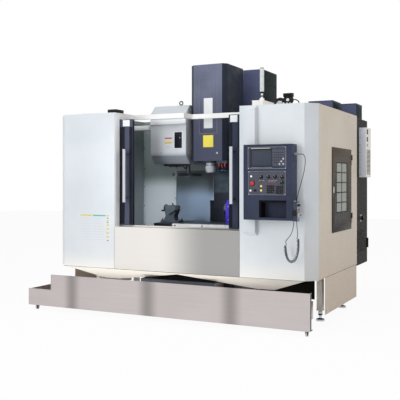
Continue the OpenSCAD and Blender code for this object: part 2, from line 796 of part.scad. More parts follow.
// Cabinet door with its barrels and a long handle
module cabinet_door() color(blue_paint) difference() {
    union() {
        box([cab_x, cab_back + run_gap, cab_low],
            [cab_right, cab_back + run_gap + cab_door_t, cab_low + cab_h]);
        box([cab_x + 40, cab_back + cab_door_t, cab_low + 820],
            [cab_x + 70, cab_back + run_gap + cab_door_t + cab_handle_out, cab_low + 980]);
        for (z = cab_knuckles) {
            rod_z([cab_axis[0], cab_axis[1], z], barrel_h, barrel_r);
            box([cab_right - 10, cab_axis[1] - 4, z], [cab_axis[0], cab_axis[1] + 4, z + barrel_h]);
        }
    }
    for (z = cab_knuckles)
        rod_z([cab_axis[0], cab_axis[1], z - 1], barrel_h + 2, pin_r + shaft_gap);
    box([cab_x + 20, cab_back, cab_low + 20],
        [cab_right - 20, cab_back + run_gap + cab_door_t - sheet_t, cab_low + cab_h - 20]);
}

// Cooler on the cabinet's right side
cooler_y = side_d + 205;
cooler_d = 235;
cooler_low = 1530;
cooler_h = 600;
socket_w = 70;
socket_h = 60;
module air_conditioner() color(white_paint) difference() {
    box([cab_right, cooler_y, cooler_low], [right_end, cooler_y + cooler_d, cooler_low + cooler_h]);
    for (z = [cooler_low + 430, cooler_low + 520])
        box([right_end - 6, cooler_y + 30, z], [right_end + 1, cooler_y + 30 + socket_w, z + socket_h]);
}

// Rotary main switch on the cabinet's right side
module main_switch() color(black) {
    rod_x([cab_right - 20, switch_y, switch_z], 21, switch_stem_r);
    rod_x([cab_right + run_gap, switch_y, switch_z], 14, switch_r);
    box([cab_right + 8, switch_y - 7, switch_z - switch_r + 3],
        [cab_right + 36, switch_y + 7, switch_z + switch_r - 3]);
}

// Control box with recesses for the screen unit and the operator panel, and an open pocket
screen_x = [924, 1323];
screen_z = [1604, 1819];
op_x = [928, 1319];
op_z = [1349, 1584];
pocket_x = [1040, 1324];
pocket_z = [1127, 1297];
screen_depth = 12;
box_back = 40;
estop_at = [975, 1463];
feed_at = [1066, 1525];
estop_stem_r = 10;
knob_stem_r = 5;
stem_depth = 24;
module control_box() color(blue_paint) difference() {
    union() {
        box([box_x, box_front, box_low], [box_right, -pillar_d, box_low + box_h]);
        box([pillar_x + pillar_w + 10, -pillar_d - 1, box_low],
            [box_right, -pillar_d + box_back, box_low + box_h]);
    }
    box([screen_x[0], box_front - 1, screen_z[0]], [screen_x[1], box_front + screen_depth, screen_z[1]]);
    box([op_x[0], box_front - 1, op_z[0]], [op_x[1], box_front + panel_recess, op_z[1]]);
    box([pocket_x[0], box_front - 1, pocket_z[0]], [pocket_x[1], -pillar_d + box_back - 6, pocket_z[1]]);
    box([pillar_x + pillar_w + 20, box_front + panel_recess + stem_depth + 6, pocket_z[1] + 14],
        [box_right - 10, -pillar_d + box_back + 1, box_low + box_h - 10]);
    rod_y([estop_at[0], box_front, estop_at[1]], panel_recess + stem_depth, estop_stem_r + shaft_gap);
    rod_y([feed_at[0], box_front, feed_at[1]], panel_recess + stem_depth, knob_stem_r + shaft_gap);
}

// Screen unit: bezel with the display and the key field sunk in it
lcd_x = [960, 1175];
lcd_z = [1634, 1791];
keys_x = [1188, 1302];
module screen_unit() color(iron) difference() {
    box([screen_x[0], box_front - panel_out, screen_z[0]],
        [screen_x[1], box_front + screen_depth, screen_z[1]]);
    box([lcd_x[0], box_front - panel_out - 1, lcd_z[0]], [lcd_x[1], box_front + 4, lcd_z[1]]);
    for (i = [0:5], j = [0:5])
        box([keys_x[0] + 19.5 * i, box_front - panel_out - 1, 1642 + 25 * j],
            [keys_x[0] + 16 + 19.5 * i, box_front, 1661 + 25 * j]);
}

// Operator panel with its fixed knobs, buttons and keys
knobs_at = [[1142, 1528], [1211, 1528], [1282, 1523], [1280, 1471]];
buttons_at = [[961, 1532], [954, 1392], [999, 1393], [1066, 1436], [1066, 1393]];
knob_h = 18;
module operator_panel() color(iron) difference() {
    union() {
        box([op_x[0], panel_front, op_z[0]], [op_x[1], box_front + panel_recess, op_z[1]]);
        for (p = knobs_at)
            rod_y([p[0], panel_front - knob_h, p[1]], knob_h + 1, knob_r);
        for (p = buttons_at)
            rod_y([p[0], panel_front - 6, p[1]], 7, 9);
        for (x = [1132:20:1200], z = [1376:20:1440])
            box([x - 7, panel_front - 3, z - 7], [x + 7, panel_front + 1, z + 7]);
        for (x = [1226:20:1300], z = [1370:20:1440])
            box([x - 7, panel_front - 3, z - 7], [x + 7, panel_front + 1, z + 7]);
    }
    rod_y([estop_at[0], panel_front - 1, estop_at[1]], 30, estop_stem_r + shaft_gap);
    rod_y([feed_at[0], panel_front - 1, feed_at[1]], 30, knob_stem_r + shaft_gap);
}

// Emergency stop: mushroom head on its stem
estop_h = 12;
module estop_button() color("crimson") {
    rod_y([estop_at[0], panel_front - estop_travel - 1 - estop_h, estop_at[1]], estop_h, estop_r);
    rod_y([estop_at[0], panel_front - estop_travel - 2, estop_at[1]],
        estop_travel + 2 + panel_out + panel_recess + stem_depth - estop_travel - 1, estop_stem_r);
}

// Override knob on its stem, with a pointer ridge
module feed_knob() color(black) {
    rod_y([feed_at[0], panel_front - run_gap - knob_h, feed_at[1]], knob_h, knob_r);
    rod_y([feed_at[0], panel_front - 2, feed_at[1]], panel_out + panel_recess + stem_depth, knob_stem_r);
    box([feed_at[0] - 2, panel_front - run_gap - knob_h - 2, feed_at[1]],
        [feed_at[0] + 2, panel_front - run_gap - 2, feed_at[1] + knob_r]);
}

// Hand pendant that hangs on the control box
dial_at = [(pendant_y[0] + pendant_y[1]) / 2, pendant_z[0] + 60];
dial_stem_r = 6;
module pendant() color(iron) difference() {
    union() {
        box([box_right, pendant_y[0], pendant_z[0]], [box_right + pendant_t, pendant_y[1], pendant_z[1]]);
        for (y = [pendant_y[0] + 20, pendant_y[1] - 20])
            rod_x([box_right + pendant_t - 1, y, pendant_z[1] - 35], 11, 11);
    }
    rod_x([box_right + pendant_t - 20, dial_at[0], dial_at[1]], 21, dial_stem_r + shaft_gap);
}
module pendant_dial() color(steel) {
    rod_x([box_right + pendant_t + run_gap, dial_at[0], dial_at[1]], 12, dial_r);
    rod_x([box_right + pendant_t - 18, dial_at[0], dial_at[1]], 20, dial_stem_r);
    rod_x([box_right + pendant_t + 10, dial_at[0] + dial_r * 0.6, dial_at[1]], 12, 5);
}

// Connector on the control box and the cord from it to the pendant
module cord_plug() color(black) {
    rod_x([box_right, cord_y, plug_z], 8, 15);
    rod_x([box_right + 8, cord_y, plug_z], 34, 12);
    rod_x([box_right + 42, cord_y, plug_z], 24, 7);
}
module cord_upper() color(black) tube(smooth_line(cord_upper_route, 3), cord_r, 8);
module cord_coil() color(black) tube(smooth_line(cord_coil_route, 2), coil_r, 12);
module cord_lower() color(black) tube(smooth_line(cord_lower_route, 2), cord_r, 8);

// Tower light on its bracket
tower_x = [777, 900];
tower_y = [300, 620];
tower_z = panel_top + 83;
tower_r = 21;
tower_axis = tower_x[1] - 24;
module tower_light() color(white_paint) {
    difference() {
        box([tower_x[0], tower_y[0], panel_top], [tower_x[1], tower_y[1], tower_z]);
        box([tower_x[0] + sheet_t, tower_y[0] + sheet_t, panel_top - 1],
            [tower_x[1] - sheet_t, tower_y[1] - sheet_t, tower_z - sheet_t]);
    }
    rod_z([tower_axis, tower_y[0] + 30, tower_z], 20, tower_r + 4);
    rod_z([tower_axis, tower_y[0] + 30, tower_z + 20], 60, tower_r - 9);
    rod_z([tower_axis, tower_y[0] + 30, tower_z + 80], 264, tower_r);
}

// Air unit on the right roof: base, bowl and regulators with their caps
air_x = 860;
air_y = 760;
module air_unit() color(black) {
    box([air_x, air_y, panel_top], [air_x + 200, air_y + 80, panel_top + 10]);
    rod_z([air_x + 50, air_y + 40, panel_top + 10], 130, 30);
    for (i = [0:2])
        rod_z([air_x + 110 + 36 * i, air_y + 40, panel_top + 10], 160 + 6 * i, 14);
    box([air_x + 12, air_y + 22, panel_top + 110], [air_x + 196, air_y + 58, panel_top + 150]);
    box([air_x + 92, air_y + 15, panel_top + 165], [air_x + 200, air_y + 65, panel_top + 204]);
}

// Magazine cover: folded sheet with bevels, side plates, a lip, a window and a lifting eye
mag_line = [
    [mag_y + mag_d, mag_top], [mag_y + mag_cut, mag_top], [mag_y, mag_top - mag_cut],
    [mag_y, mag_low + mag_cut], [mag_y + mag_cut, mag_low]
];
mag_window_x = [-406, -303];
mag_window_z = [1876, 2067];
mag_lip_z = [2162, 2220];
eye_at = [mag_right - 153, mag_y + 170];
module magazine_cover() color(white_paint) {
    difference() {
        along_x(mag_left, mag_w) fold(mag_line, sheet_t);
        box([mag_window_x[0], mag_y - 1, mag_window_z[0]],
            [mag_window_x[1], mag_y + sheet_t + 1, mag_window_z[1]]);
    }
    for (x = [mag_left, mag_right - sheet_t])
        along_x(x, sheet_t) polygon(concat(mag_line, [[mag_y + mag_d, mag_low]]));
    box([mag_left, mag_y - 12, mag_lip_z[0]], [mag_right, mag_y + 1, mag_lip_z[1]]);
    rod_z([eye_at[0], eye_at[1], mag_top], 12, 12);
    translate([eye_at[0], eye_at[1], mag_top + 36]) rotate([90, 0, 0])
        rotate_extrude() translate([22, 0]) circle(r = 6);
}

// Tool changer frame on the column, with the gearbox of the changer arm
frame_low = disc_z - 261;
frame_high = disc_z + 79;
module changer_frame() color(iron) difference() {
    union() {
        box([frame_x - frame_t, spindle_y - 40, frame_low], [frame_x, col_y, frame_high]);
        box([pivot_x - 45, spindle_y - sleeve_r - 18, gearbox_low],
            [frame_x, spindle_y + 70, gearbox_low + gearbox_h]);
    }
    rod_x([frame_x - frame_t - 1, disc_y, disc_z], frame_t + 2, axle_r + shaft_gap);
    rod_z([pivot_x, spindle_y, gearbox_low - 1], gearbox_h + 2, sleeve_r + shaft_gap);
}

// Tool disc with its pots and axle
disc_x = mag_left + 90;
disc_t = 120;
pot_r = 22;
module tool_disc() color(steel) {
    difference() {
        rod_x([disc_x, disc_y, disc_z], disc_t, pot_ring_r);
        rod_x([disc_x - 1, disc_y, disc_z], 91, pot_ring_r - 60);
    }
    for (i = [0:pot_count - 1])
        translate([disc_x - 20, disc_y, disc_z]) rotate([360 * i / pot_count, 0, 0])
            rod_x([0, pot_ring_r, 0], disc_t + 40, pot_r);
    rod_x([disc_x + disc_t - 1, disc_y, disc_z], frame_x - 3 - disc_x - disc_t + 1, axle_r);
}

// Changer sleeve that drops, and the arm that swings in it
sleeve_h = 300;
module changer_sleeve() color(steel) difference() {
    rod_z([pivot_x, spindle_y, arm_top + run_gap], sleeve_h, sleeve_r);
    rod_z([pivot_x, spindle_y, arm_top], sleeve_h + 1, arm_shaft_r);
}
arm_w = 70;
grip_r = 42;
module changer_arm() color(iron) {
    translate([pivot_x, spindle_y, arm_top - arm_t]) linear_extrude(arm_t) difference() {
        union() {
            square([arm_w, 2 * arm_reach], center = true);
            circle(r = 60);
            for (s = [-1, 1])
                translate([0, s * arm_reach]) circle(r = grip_r);
        }
        for (s = [-1, 1])
            translate([0, s * arm_reach]) {
                circle(r = grip_r - 14);
                translate([s * grip_r / 2, 0]) square([grip_r, 2 * (grip_r - 16)], center = true);
            }
    }
    rod_z([pivot_x, spindle_y, arm_top - 1], sleeve_h - 5, arm_shaft_r - shaft_gap);
}

// Sliding door: frame with a rebate for its window, a groove for the track and an upper guide pin
module door() difference() {
    union() {
        box([door_lead, door_y, door_low], [door_trail, door_y + door_t, door_top]);
        rod_z([door_trail - door_pin_in, track_y, door_top - 1], door_pin_h + 1, door_pin_r);
    }
    box([door_lead + stile_w, door_y - 1, door_low + cross_h],
        [door_trail - stile_w, door_y + door_t + 1, door_top - cross_h]);
    box([door_lead + stile_w - window_lap - run_gap, door_y + door_t - glass_t - glass_back,
            door_low + cross_h - window_lap - run_gap],
        [door_trail - stile_w + window_lap + run_gap, door_y + door_t + 1,
            door_top - cross_h + window_lap + run_gap]);
    box([door_lead - 1, track_y - track_w / 2 - run_gap, door_low - 1],
        [door_trail + 1, track_y + track_w / 2 + run_gap, sill_top + track_h + run_gap]);
}
module window()
    box([door_lead + stile_w - window_lap, door_y + door_t - glass_t - glass_back,
            door_low + cross_h - window_lap],
        [door_trail - stile_w + window_lap, door_y + door_t - glass_back, door_top - cross_h + window_lap]);
module handle() {
    translate([handle_x, handle_y + handle_d / 2, handle_low]) linear_extrude(handle_len) {
        square([handle_w - handle_d, handle_d], center = true);
        for (s = [-1, 1])
            translate([s * (handle_w - handle_d) / 2, 0]) circle(d = handle_d);
    }
    for (z = [handle_low + handle_foot_in, handle_low + handle_len - handle_foot_in])
        rod_y([handle_x, handle_y + handle_d / 2, z], door_y - handle_y - handle_d / 2, handle_foot_r);
}
module left_door() color(blue_paint) mirror([1, 0, 0]) door();
module left_window() color(grey_paint) mirror([1, 0, 0]) window();
module left_handle() color(steel) mirror([1, 0, 0]) handle();
module right_door() color(blue_paint) door();
module right_window() color(grey_paint) window();
module right_handle() color(steel) handle();

// Saddle: plate with Y carriages and nut below, X rails, bearings and motor above
module saddle() color(iron) difference() {
    union() {
        box([-saddle_w / 2, saddle_y, saddle_low], [saddle_w / 2, saddle_y + saddle_d, saddle_top]);
        for (x = [-y_rail_x, y_rail_x], y = [saddle_y + 90, saddle_y + saddle_d - 90])
            carriage_z([x, y, bed_top + grip], false);
        box([-block_w / 2 + 5, spindle_y - 40, bed_top + 5],
            [block_w / 2 - 5, spindle_y + 40, saddle_low + 1]);
        for (s = [-1, 1])
            box([-saddle_w / 2 + 10, spindle_y + s * x_rail_y - rail_w / 2, saddle_top - 1],
                [saddle_w / 2 - 10, spindle_y + s * x_rail_y + rail_w / 2, saddle_top + rail_h]);
        for (x = [-saddle_w / 2, saddle_w / 2 - 40])
            box([x, spindle_y - 40, saddle_top - 1], [x + 40, spindle_y + 40, x_screw_z + 34]);
        translate([saddle_w / 2, spindle_y, x_screw_z]) rotate([0, 90, 0]) motor(x_motor_w, 160);
    }
    rod_y([0, spindle_y - 41, y_screw_z], 82, screw_r + shaft_gap);
    rod_x([-saddle_w / 2 - 1, spindle_y, x_screw_z], saddle_w + 2, x_screw_r + shaft_gap);
    for (x = [-saddle_w / 2 + 40, -saddle_w / 2 + 260, saddle_w / 2 - 460, saddle_w / 2 - 240], y = [50, 280])
        box([x, saddle_y + y, saddle_low - 1], [x + 200, saddle_y + y + 190, saddle_top - 50]);
}

// Table with T slots, carriages and nut
slot_neck = 18;
slot_foot_w = slot_w + 14;
slot_foot_h = 14;
module table() color(iron) difference() {
    union() {
        box([-table_w / 2, table_y, table_low], [table_w / 2, table_y + table_d, table_top]);
        for (x = [-x_carriage_x, x_carriage_x], s = [-1, 1])
            carriage_z([x, spindle_y + s * x_rail_y, saddle_top + grip], true);
        box([-50, spindle_y - 36, saddle_top + 5], [50, spindle_y + 36, table_low + 1]);
    }
    rod_x([-51, spindle_y, x_screw_z], 102, x_screw_r + shaft_gap);
    for (i = [0:slot_count - 1]) {
        y = spindle_y + (i - (slot_count - 1) / 2) * slot_pitch;
        box([-table_w / 2 - 1, y - slot_w / 2, table_top - slot_neck - 1],
            [table_w / 2 + 1, y + slot_w / 2, table_top + 1]);
        box([-table_w / 2 - 1, y - slot_foot_w / 2, table_top - slot_neck - slot_foot_h],
            [table_w / 2 + 1, y + slot_foot_w / 2, table_top - slot_neck]);
    }
}

// Bright strip along the table's front edge
strip_right = 554;
strip_h = 56;
module table_strip() color(steel)
    box([strip_right - strip_len, table_y - strip_t, table_top - strip_h], [strip_right, table_y, table_top]);

// Tailstock: cast body on a base, quill and handwheel
axis_y = table_y + centre_y;
axis_z = table_top + centre_h;
tail_x = [-588, -340];
tail_body_x = [-534, -389];
tail_half_w = 60;
tail_top = centre_h + 34;
module tailstock() color(iron) difference() {
    union() {
        box([tail_x[0], axis_y - tail_half_w, table_top], [tail_x[1], axis_y + tail_half_w, table_top + 24]);
        along_y(axis_y - tail_half_w + 10, 2 * tail_half_w - 20) polygon([
            [tail_body_x[0] - 20, table_top + 24], [tail_body_x[1] - 10, table_top + 24],
            [tail_body_x[1] - 25, table_top + 80], [tail_body_x[1], table_top + 122],
            [tail_body_x[1], table_top + tail_top], [tail_body_x[0], table_top + tail_top],
            [tail_body_x[0], table_top + 120], [tail_body_x[0] + 8, table_top + 80]
        ]);
        rod_x([tail_body_x[1] - 1, axis_y, axis_z], 16, quill_r + 14);
    }
    rod_x([tail_body_x[0] - 1, axis_y, axis_z], 12, wheel_hub_r + shaft_gap);
    rod_x([tail_body_x[0] + 10, axis_y, axis_z], tail_body_x[1] - tail_body_x[0] + 20, quill_r + shaft_gap);
}
quill_back = 60;
quill_out = 30;
quill_tip = 44;
module quill() color(steel) {
    quill_len = tail_body_x[1] + quill_out - tail_body_x[0] - quill_back;
    rod_x([tail_body_x[0] + quill_back, axis_y, axis_z], quill_len, quill_r);
    translate([tail_body_x[1] + quill_out - 1, axis_y, axis_z]) rotate([0, 90, 0])
        cylinder(h = quill_tip, r1 = quill_r - 6, r2 = 1);
}
wheel_r = 45;
wheel_hub_r = 14;
module handwheel() color(black) {
    rod_x([tail_body_x[0] - run_gap - 22, axis_y, axis_z], 22, wheel_r);
    rod_x([tail_body_x[0] - 10, axis_y, axis_z], 19, wheel_hub_r);
    rod_x([tail_body_x[0] - run_gap - 75, axis_y, axis_z - wheel_r + 14], 56, 9);
}

// Rotary table: upright body with a round faceplate
rotary_half_w = 120;
face_t = 46;
face_hub_r = 40;
module rotary_table() color(violet) difference() {
    union() {
        box([rotary_x, axis_y - rotary_half_w, table_top],
            [rotary_x + rotary_len, axis_y + rotary_half_w, table_top + rotary_h - 30]);
        box([rotary_x, axis_y - rotary_half_w + 30, table_top],
            [rotary_x + rotary_len, axis_y + rotary_half_w - 30, table_top + rotary_h]);
        rod_x([rotary_x + rotary_len - 1, axis_y, axis_z], 41, 60);
    }
    rod_x([rotary_x - 1, axis_y, axis_z], 101, face_hub_r + shaft_gap);
}
module faceplate() color(steel) difference() {
    union() {
        rod_x([rotary_x - run_gap - face_t, axis_y, axis_z], face_t, face_r);
        rod_x([rotary_x - 1, axis_y, axis_z], 96, face_hub_r);
    }
    rod_x([rotary_x - face_t - 2, axis_y, axis_z], face_t + 42, face_bore_r);
    for (a = [0:90:270])
        translate([0, axis_y, axis_z]) rotate([a, 0, 0])
            box([rotary_x - face_t - 2, -7, face_bore_r + 12], [rotary_x - face_t + 14, 7, face_r + 1]);
}

// Head casting: arm, slide with Z carriages and nut, nose ring, motor and the front cover plate
ring_r = 75;
motor_r = 110;
module head_casting() color(iron) difference() {
    union() {
        translate([0, 0, head_low]) linear_extrude(head_h) polygon([
            [-head_w / 2, slide_y - slide_t + 1], [-head_w / 2, head_front + head_cut],
            [-head_w / 2 + head_cut, head_front], [head_w / 2 - head_cut, head_front],
            [head_w / 2, head_front + head_cut], [head_w / 2, slide_y - slide_t + 1]
        ]);
        box([-slide_half, slide_y - slide_t, slide_low], [slide_half, slide_y, head_top]);
        for (x = [-z_rail_x, z_rail_x], z = [slide_low + 20, head_top - 120])
            z_carriage(x, z);
        box([-45, slide_y - 1, slide_low + 180], [45, col_y - 5, slide_low + 280]);
        rod_z([0, spindle_y, nose_low + 114], head_low - nose_low - 113, ring_r);
        rod_z([0, spindle_y, head_top - 1], 501, motor_r);
        box([-plate_w / 2, plate_y, plate_front_low], [plate_w / 2, plate_y + plate_t, head_low + 16]);
    }
    rod_z([0, spindle_y, nose_low], head_top - 10 - nose_low, spindle_r + shaft_gap);
    rod_z([0, z_screw_y, slide_low], head_h, screw_r + shaft_gap);
    box([-head_w / 2 + 50, spindle_y + motor_r + 20, head_low + 60],
        [head_w / 2 - 50, slide_y - slide_t - 20, head_top + 1]);
}
module z_carriage(x, z) difference() {
    box([x - carriage_w / 2 + 5, slide_y - 1, z], [x + carriage_w / 2 - 5, col_y - grip, z + carriage_len]);
    box([x - rail_w / 2 - run_gap, col_y - rail_h - run_gap, z - 1],
        [x + rail_w / 2 + run_gap, col_y, z + carriage_len + 1]);
}

// Head cover: bevelled sheet box, open at the rear for the casting, with the coolant manifold below
cover_half = cover_w / 2;
cover_back = cover_y + cover_d;
cover_plan = [
    [cover_x - cover_half, cover_back], [cover_x - cover_half, cover_y + cover_cut],
    [cover_x - cover_half + cover_cut, cover_y], [cover_x + cover_half - cover_cut, cover_y],
    [cover_x + cover_half, cover_y + cover_cut], [cover_x + cover_half, cover_back]
];
module head_cover() color(blue_paint) {
    translate([0, 0, cover_low]) linear_extrude(cover_h) fold(cover_plan, sheet_t);
    difference() {
        translate([0, 0, cover_low]) linear_extrude(sheet_t) polygon(cover_plan);
        rod_z([0, spindle_y, cover_low - 1], sheet_t + 2, ring_r + 5);
    }
    translate([0, 0, cover_low + cover_h - sheet_t]) linear_extrude(sheet_t) polygon(cover_plan);
    box([cover_x - cover_half, cover_back - sheet_t, head_top + 4],
        [cover_x + cover_half, cover_back, cover_low + cover_h]);
    box([cover_x + 90, cover_y + 50, cover_low - 30],
        [cover_x + cover_half - 10, cover_y + 110, cover_low + 1]);
    for (x = [cover_x + 110, cover_x + 150, cover_x + 190])
        rod_z([x, cover_y + 80, cover_low - 80], 51, 8);
}

// Spindle: shaft, nose and taper
taper_r = 22.225;
taper_h = 65;
taper_end_r = taper_r - taper_h * 7 / 48;
module spindle() color(steel) difference() {
    union() {
        rod_z([0, spindle_y, nose_low + 120], head_top - 12 - nose_low - 120, spindle_r);
        rod_z([0, spindle_y, nose_low], 121, nose_r);
    }
    translate([0, spindle_y, nose_low - 0.01]) cylinder(h = taper_h, r1 = taper_r, r2 = taper_end_r);
}

// Middle plate of the telescopic cover
module z_cover() color(iron)
    box([-plate_w / 2, plate_mid_y, plate_mid_low],
        [plate_w / 2, plate_mid_y + plate_t, plate_mid_top]);

// Ball screws of the three axes
module y_screw() color(steel) rod_y([0, bed_y, y_screw_z], y_block_back + block_t - bed_y, screw_r);
module x_screw() color(steel) rod_x([-saddle_w / 2, spindle_y, x_screw_z], saddle_w, x_screw_r);
module z_screw() color(steel) rod_z([0, z_screw_y, z_block_low], col_top - z_block_low, screw_r);

// Coolant tank: stainless front, open sheet body, low left end, strainer tray and castors
tank_split = -1485;
tank_body_right = 1400;
tank_back = bed_low_y - 40;
tank_wing_back = skirt_y - 48;
tank_body_top = tank_end_top - 5;
tray_half = 450;
tray_y = [60, 290];
tray_top = 412;
wheel_out = 25;
castors_at = [[-1730, -140], [-1730, 220], [-1200, 380], [1200, 380], [1520, -140]];
module coolant_tank() color(steel) {
    along_y(-tank_out, sheet_t) polygon([
        [tank_left, tank_low], [tank_right, tank_low], [tank_right, tank_top], [tank_split, tank_top],
        [tank_split, tank_end_top], [tank_left, tank_end_top]
    ]);
    box([tank_right - sheet_t, -tank_out, tank_low], [tank_right, -tank_out + 40, tank_top]);
    box([tank_left, -tank_out, tank_low], [tank_right, -tank_out + 100, tank_low + sheet_t]);
    open_tray([tank_split + 5, -tank_out, tank_low], [tank_body_right, tank_back, tank_body_top]);
    open_tray([tank_left, -tank_out, tank_low], [tank_split + 5 + sheet_t, tank_wing_back, tank_body_top]);
    box([-tray_half, tray_y[0], tank_low + 1], [-tray_half + sheet_t, tray_y[1], tray_top]);
    box([tray_half - sheet_t, tray_y[0], tank_low + 1], [tray_half, tray_y[1], tray_top]);
    box([-tray_half, tray_y[0], tank_low + 1], [tray_half, tray_y[0] + sheet_t, tray_top]);
    box([-tray_half, tray_y[0], tray_top - 60], [tray_half, tray_y[1], tray_top - 60 + sheet_t]);
    for (p = castors_at)
        castor(p);
}
module open_tray(a, b) difference() {
    box(a, b);
    box(a + [sheet_t, sheet_t, sheet_t], b - [sheet_t, sheet_t, -1]);
}
module castor(p) {
    rod_x([p[0] - 9, p[1], wheel_out], 18, wheel_out);
    for (s = [-1, 1])
        box([p[0] + s * 12 - 3, p[1] - 8, wheel_out - 8], [p[0] + s * 12 + 3, p[1] + 8, tank_low - 4]);
    box([p[0] - 25, p[1] - 25, tank_low - 4], [p[0] + 25, p[1] + 25, tank_low + 1]);
    rod_x([p[0] - 15, p[1], wheel_out], 30, 5);
}

// All sub-parts, set on the machine's own origin
module placed() translate([-mid_x, -mid_y, 0]) children();
placed() bed();
placed() levelling_feet();
placed() column();
placed() column_hood();
placed() left_front_panel();
placed() right_front_panel();
placed() door_sill();
placed() top_beam();
placed() left_side_panel();
placed() right_side_panel();
placed() base_skirts();
placed() under_panel();
placed() splash_walls();
placed() servo_motors();
placed() cabinet();
placed() cabinet_door();
placed() air_conditioner();
placed() main_switch();
placed() control_box();
placed() screen_unit();
placed() operator_panel();
placed() estop_button();
placed() feed_knob();
placed() pendant();
placed() pendant_dial();
placed() cord_plug();
placed() cord_upper();
placed() cord_coil();
placed() cord_lower();
placed() tower_light();
placed() air_unit();
placed() magazine_cover();
placed() changer_frame();
placed() tool_disc();
placed() changer_sleeve();
placed() changer_arm();
placed() left_door();
placed() left_window();
placed() left_handle();
placed() right_door();
placed() right_window();
placed() right_handle();
placed() saddle();
placed() table();
placed() table_strip();
placed() tailstock();
placed() quill();
placed() handwheel();
placed() rotary_table();
placed() faceplate();
placed() head_casting();
placed() head_cover();
placed() spindle();
placed() z_cover();
placed() y_screw();
placed() x_screw();
placed() z_screw();
placed() coolant_tank();
placed() side_door();
placed() side_window();
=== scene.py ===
"""Looks of a vertical CNC milling machine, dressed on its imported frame.

Places are written in the machine's own millimetres: X to the right, Y to the back and Z up, with Y 0 at the
front panels and X 0 at the spindle. The function at() turns them into the frame's metres.
"""
from __future__ import annotations

import json
import logging
import math
from dataclasses import dataclass
from enum import Enum
from typing import Sequence

import bmesh
import bpy
from mathutils import Matrix, Vector

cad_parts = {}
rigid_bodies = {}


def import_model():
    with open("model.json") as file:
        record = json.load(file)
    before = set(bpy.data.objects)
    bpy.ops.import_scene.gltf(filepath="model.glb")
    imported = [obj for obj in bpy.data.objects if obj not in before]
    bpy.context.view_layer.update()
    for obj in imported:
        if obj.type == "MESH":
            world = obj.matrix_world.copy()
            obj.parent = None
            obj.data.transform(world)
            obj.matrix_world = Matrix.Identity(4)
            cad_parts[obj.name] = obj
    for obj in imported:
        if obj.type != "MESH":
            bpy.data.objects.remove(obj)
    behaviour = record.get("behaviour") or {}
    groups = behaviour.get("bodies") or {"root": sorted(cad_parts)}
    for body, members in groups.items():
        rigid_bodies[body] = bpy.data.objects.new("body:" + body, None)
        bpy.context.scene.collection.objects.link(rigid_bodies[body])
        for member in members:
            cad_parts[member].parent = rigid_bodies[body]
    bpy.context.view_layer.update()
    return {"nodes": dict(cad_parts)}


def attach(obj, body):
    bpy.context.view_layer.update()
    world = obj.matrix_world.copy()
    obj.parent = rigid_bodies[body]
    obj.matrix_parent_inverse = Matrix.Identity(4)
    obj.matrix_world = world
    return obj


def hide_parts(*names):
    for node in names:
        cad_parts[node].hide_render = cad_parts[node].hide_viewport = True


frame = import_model()
LOG = logging.getLogger("machine")
MM = 0.001
SHIFT = Vector((95.0, -1050.15, 0.0))
# Meshes: what stays sharp, what merges, how edges are rounded, which faces look sideways.
SHARP = math.radians(32)
MERGE_GAP = 2e-6
FLAT_ANGLE = math.radians(0.4)
BEVEL_ANGLE = math.radians(40)
BEVEL_STEPS = 2
BEVEL_SHARE = 0.4
ROUND_PROFILE = 0.5
SIDE_FACING = 0.6
START_SIDE = (0.31, 0.57, 0.76)
# Small shapes: a film's sunk part in millimetres, and the trees' fixed shares and counts.
FILM_BACK = 0.2
STUD_TAPER = 0.84
UPWARD = 0.9
KEY_RISE = 0.3
THREAD_STEPS = 14
WIRE_SIDES = 5
# The leg posts' places, in machine millimetres.
LEG_X = 1411.0
LEG_ROWS = (660.0, 1530.0)
# Materials: fixed shares, and noises as scale, detail and stretch.
BAND_SHADE = 0.62
CLEAR_SHARE = 0.92
CLEAR_IOR = 1.45
BRUSH_DRAW = 0.5
PAINT_CLOUDS = (2.4, 4.0)
DUST_RUNS = (1.0, 5.0, (38, 38, 1.6))
METAL_CLOUDS = (1.4, 3.0)
CAST_PATCHES = (9.0, 5.0)
HAND_MARKS = (14.0, 4.0)
GLASS_SMEARS = (6.0, 6.0, (1, 1, 0.4))
INK_SPOTS = (60.0, 4.0)
FILM_WEAR = (25.0, 3.0)

Point = Sequence[float]
Colour = tuple[float, float, float]
Spot = tuple[Point, Point]
Profile = Sequence[tuple[float, float]]
FRONT, BACK, LEFT, RIGHT = (0, -1, 0), (0, 1, 0), (-1, 0, 0), (1, 0, 0)
UP, DOWN = (0, 0, 1), (0, 0, -1)


def at(x: float, y: float, z: float) -> Vector:
    """Turn machine millimetres into the frame's metres."""
    return (Vector((x, y, z)) + SHIFT) * MM


def tone(red: int, green: int, blue: int) -> Colour:
    """Turn display values from 0 to 255 into linear light."""
    return tuple(((v / 255 + 0.055) / 1.055) ** 2.4 for v in (red, green, blue))


def span(side: int, near: float, far: float) -> list[float]:
    """Order two distances from the middle, on the left for -1 or the right for 1, from left to right."""
    return sorted((side * near, side * far))


def feed(tree: bpy.types.NodeTree, value: object, socket: bpy.types.NodeSocket) -> None:
    """Link an output to a socket, or set the socket's own value."""
    if isinstance(value, bpy.types.NodeSocket):
        tree.links.new(value, socket)
    else:
        socket.default_value = value


def summed(tree: bpy.types.NodeTree, operation: str, *values: object) -> bpy.types.NodeSocket:
    """Add a sum on one or two numbers to a node tree."""
    node = tree.nodes.new("ShaderNodeMath")
    node.operation = operation
    for value, socket in zip(values, node.inputs):
        feed(tree, value, socket)
    return node.outputs[0]


def linked(name: str, data: bpy.types.ID) -> bpy.types.Object:
    """Make an object from its data and put it in the scene."""
    item = bpy.data.objects.new(name, data)
    bpy.context.scene.collection.objects.link(item)
    return item


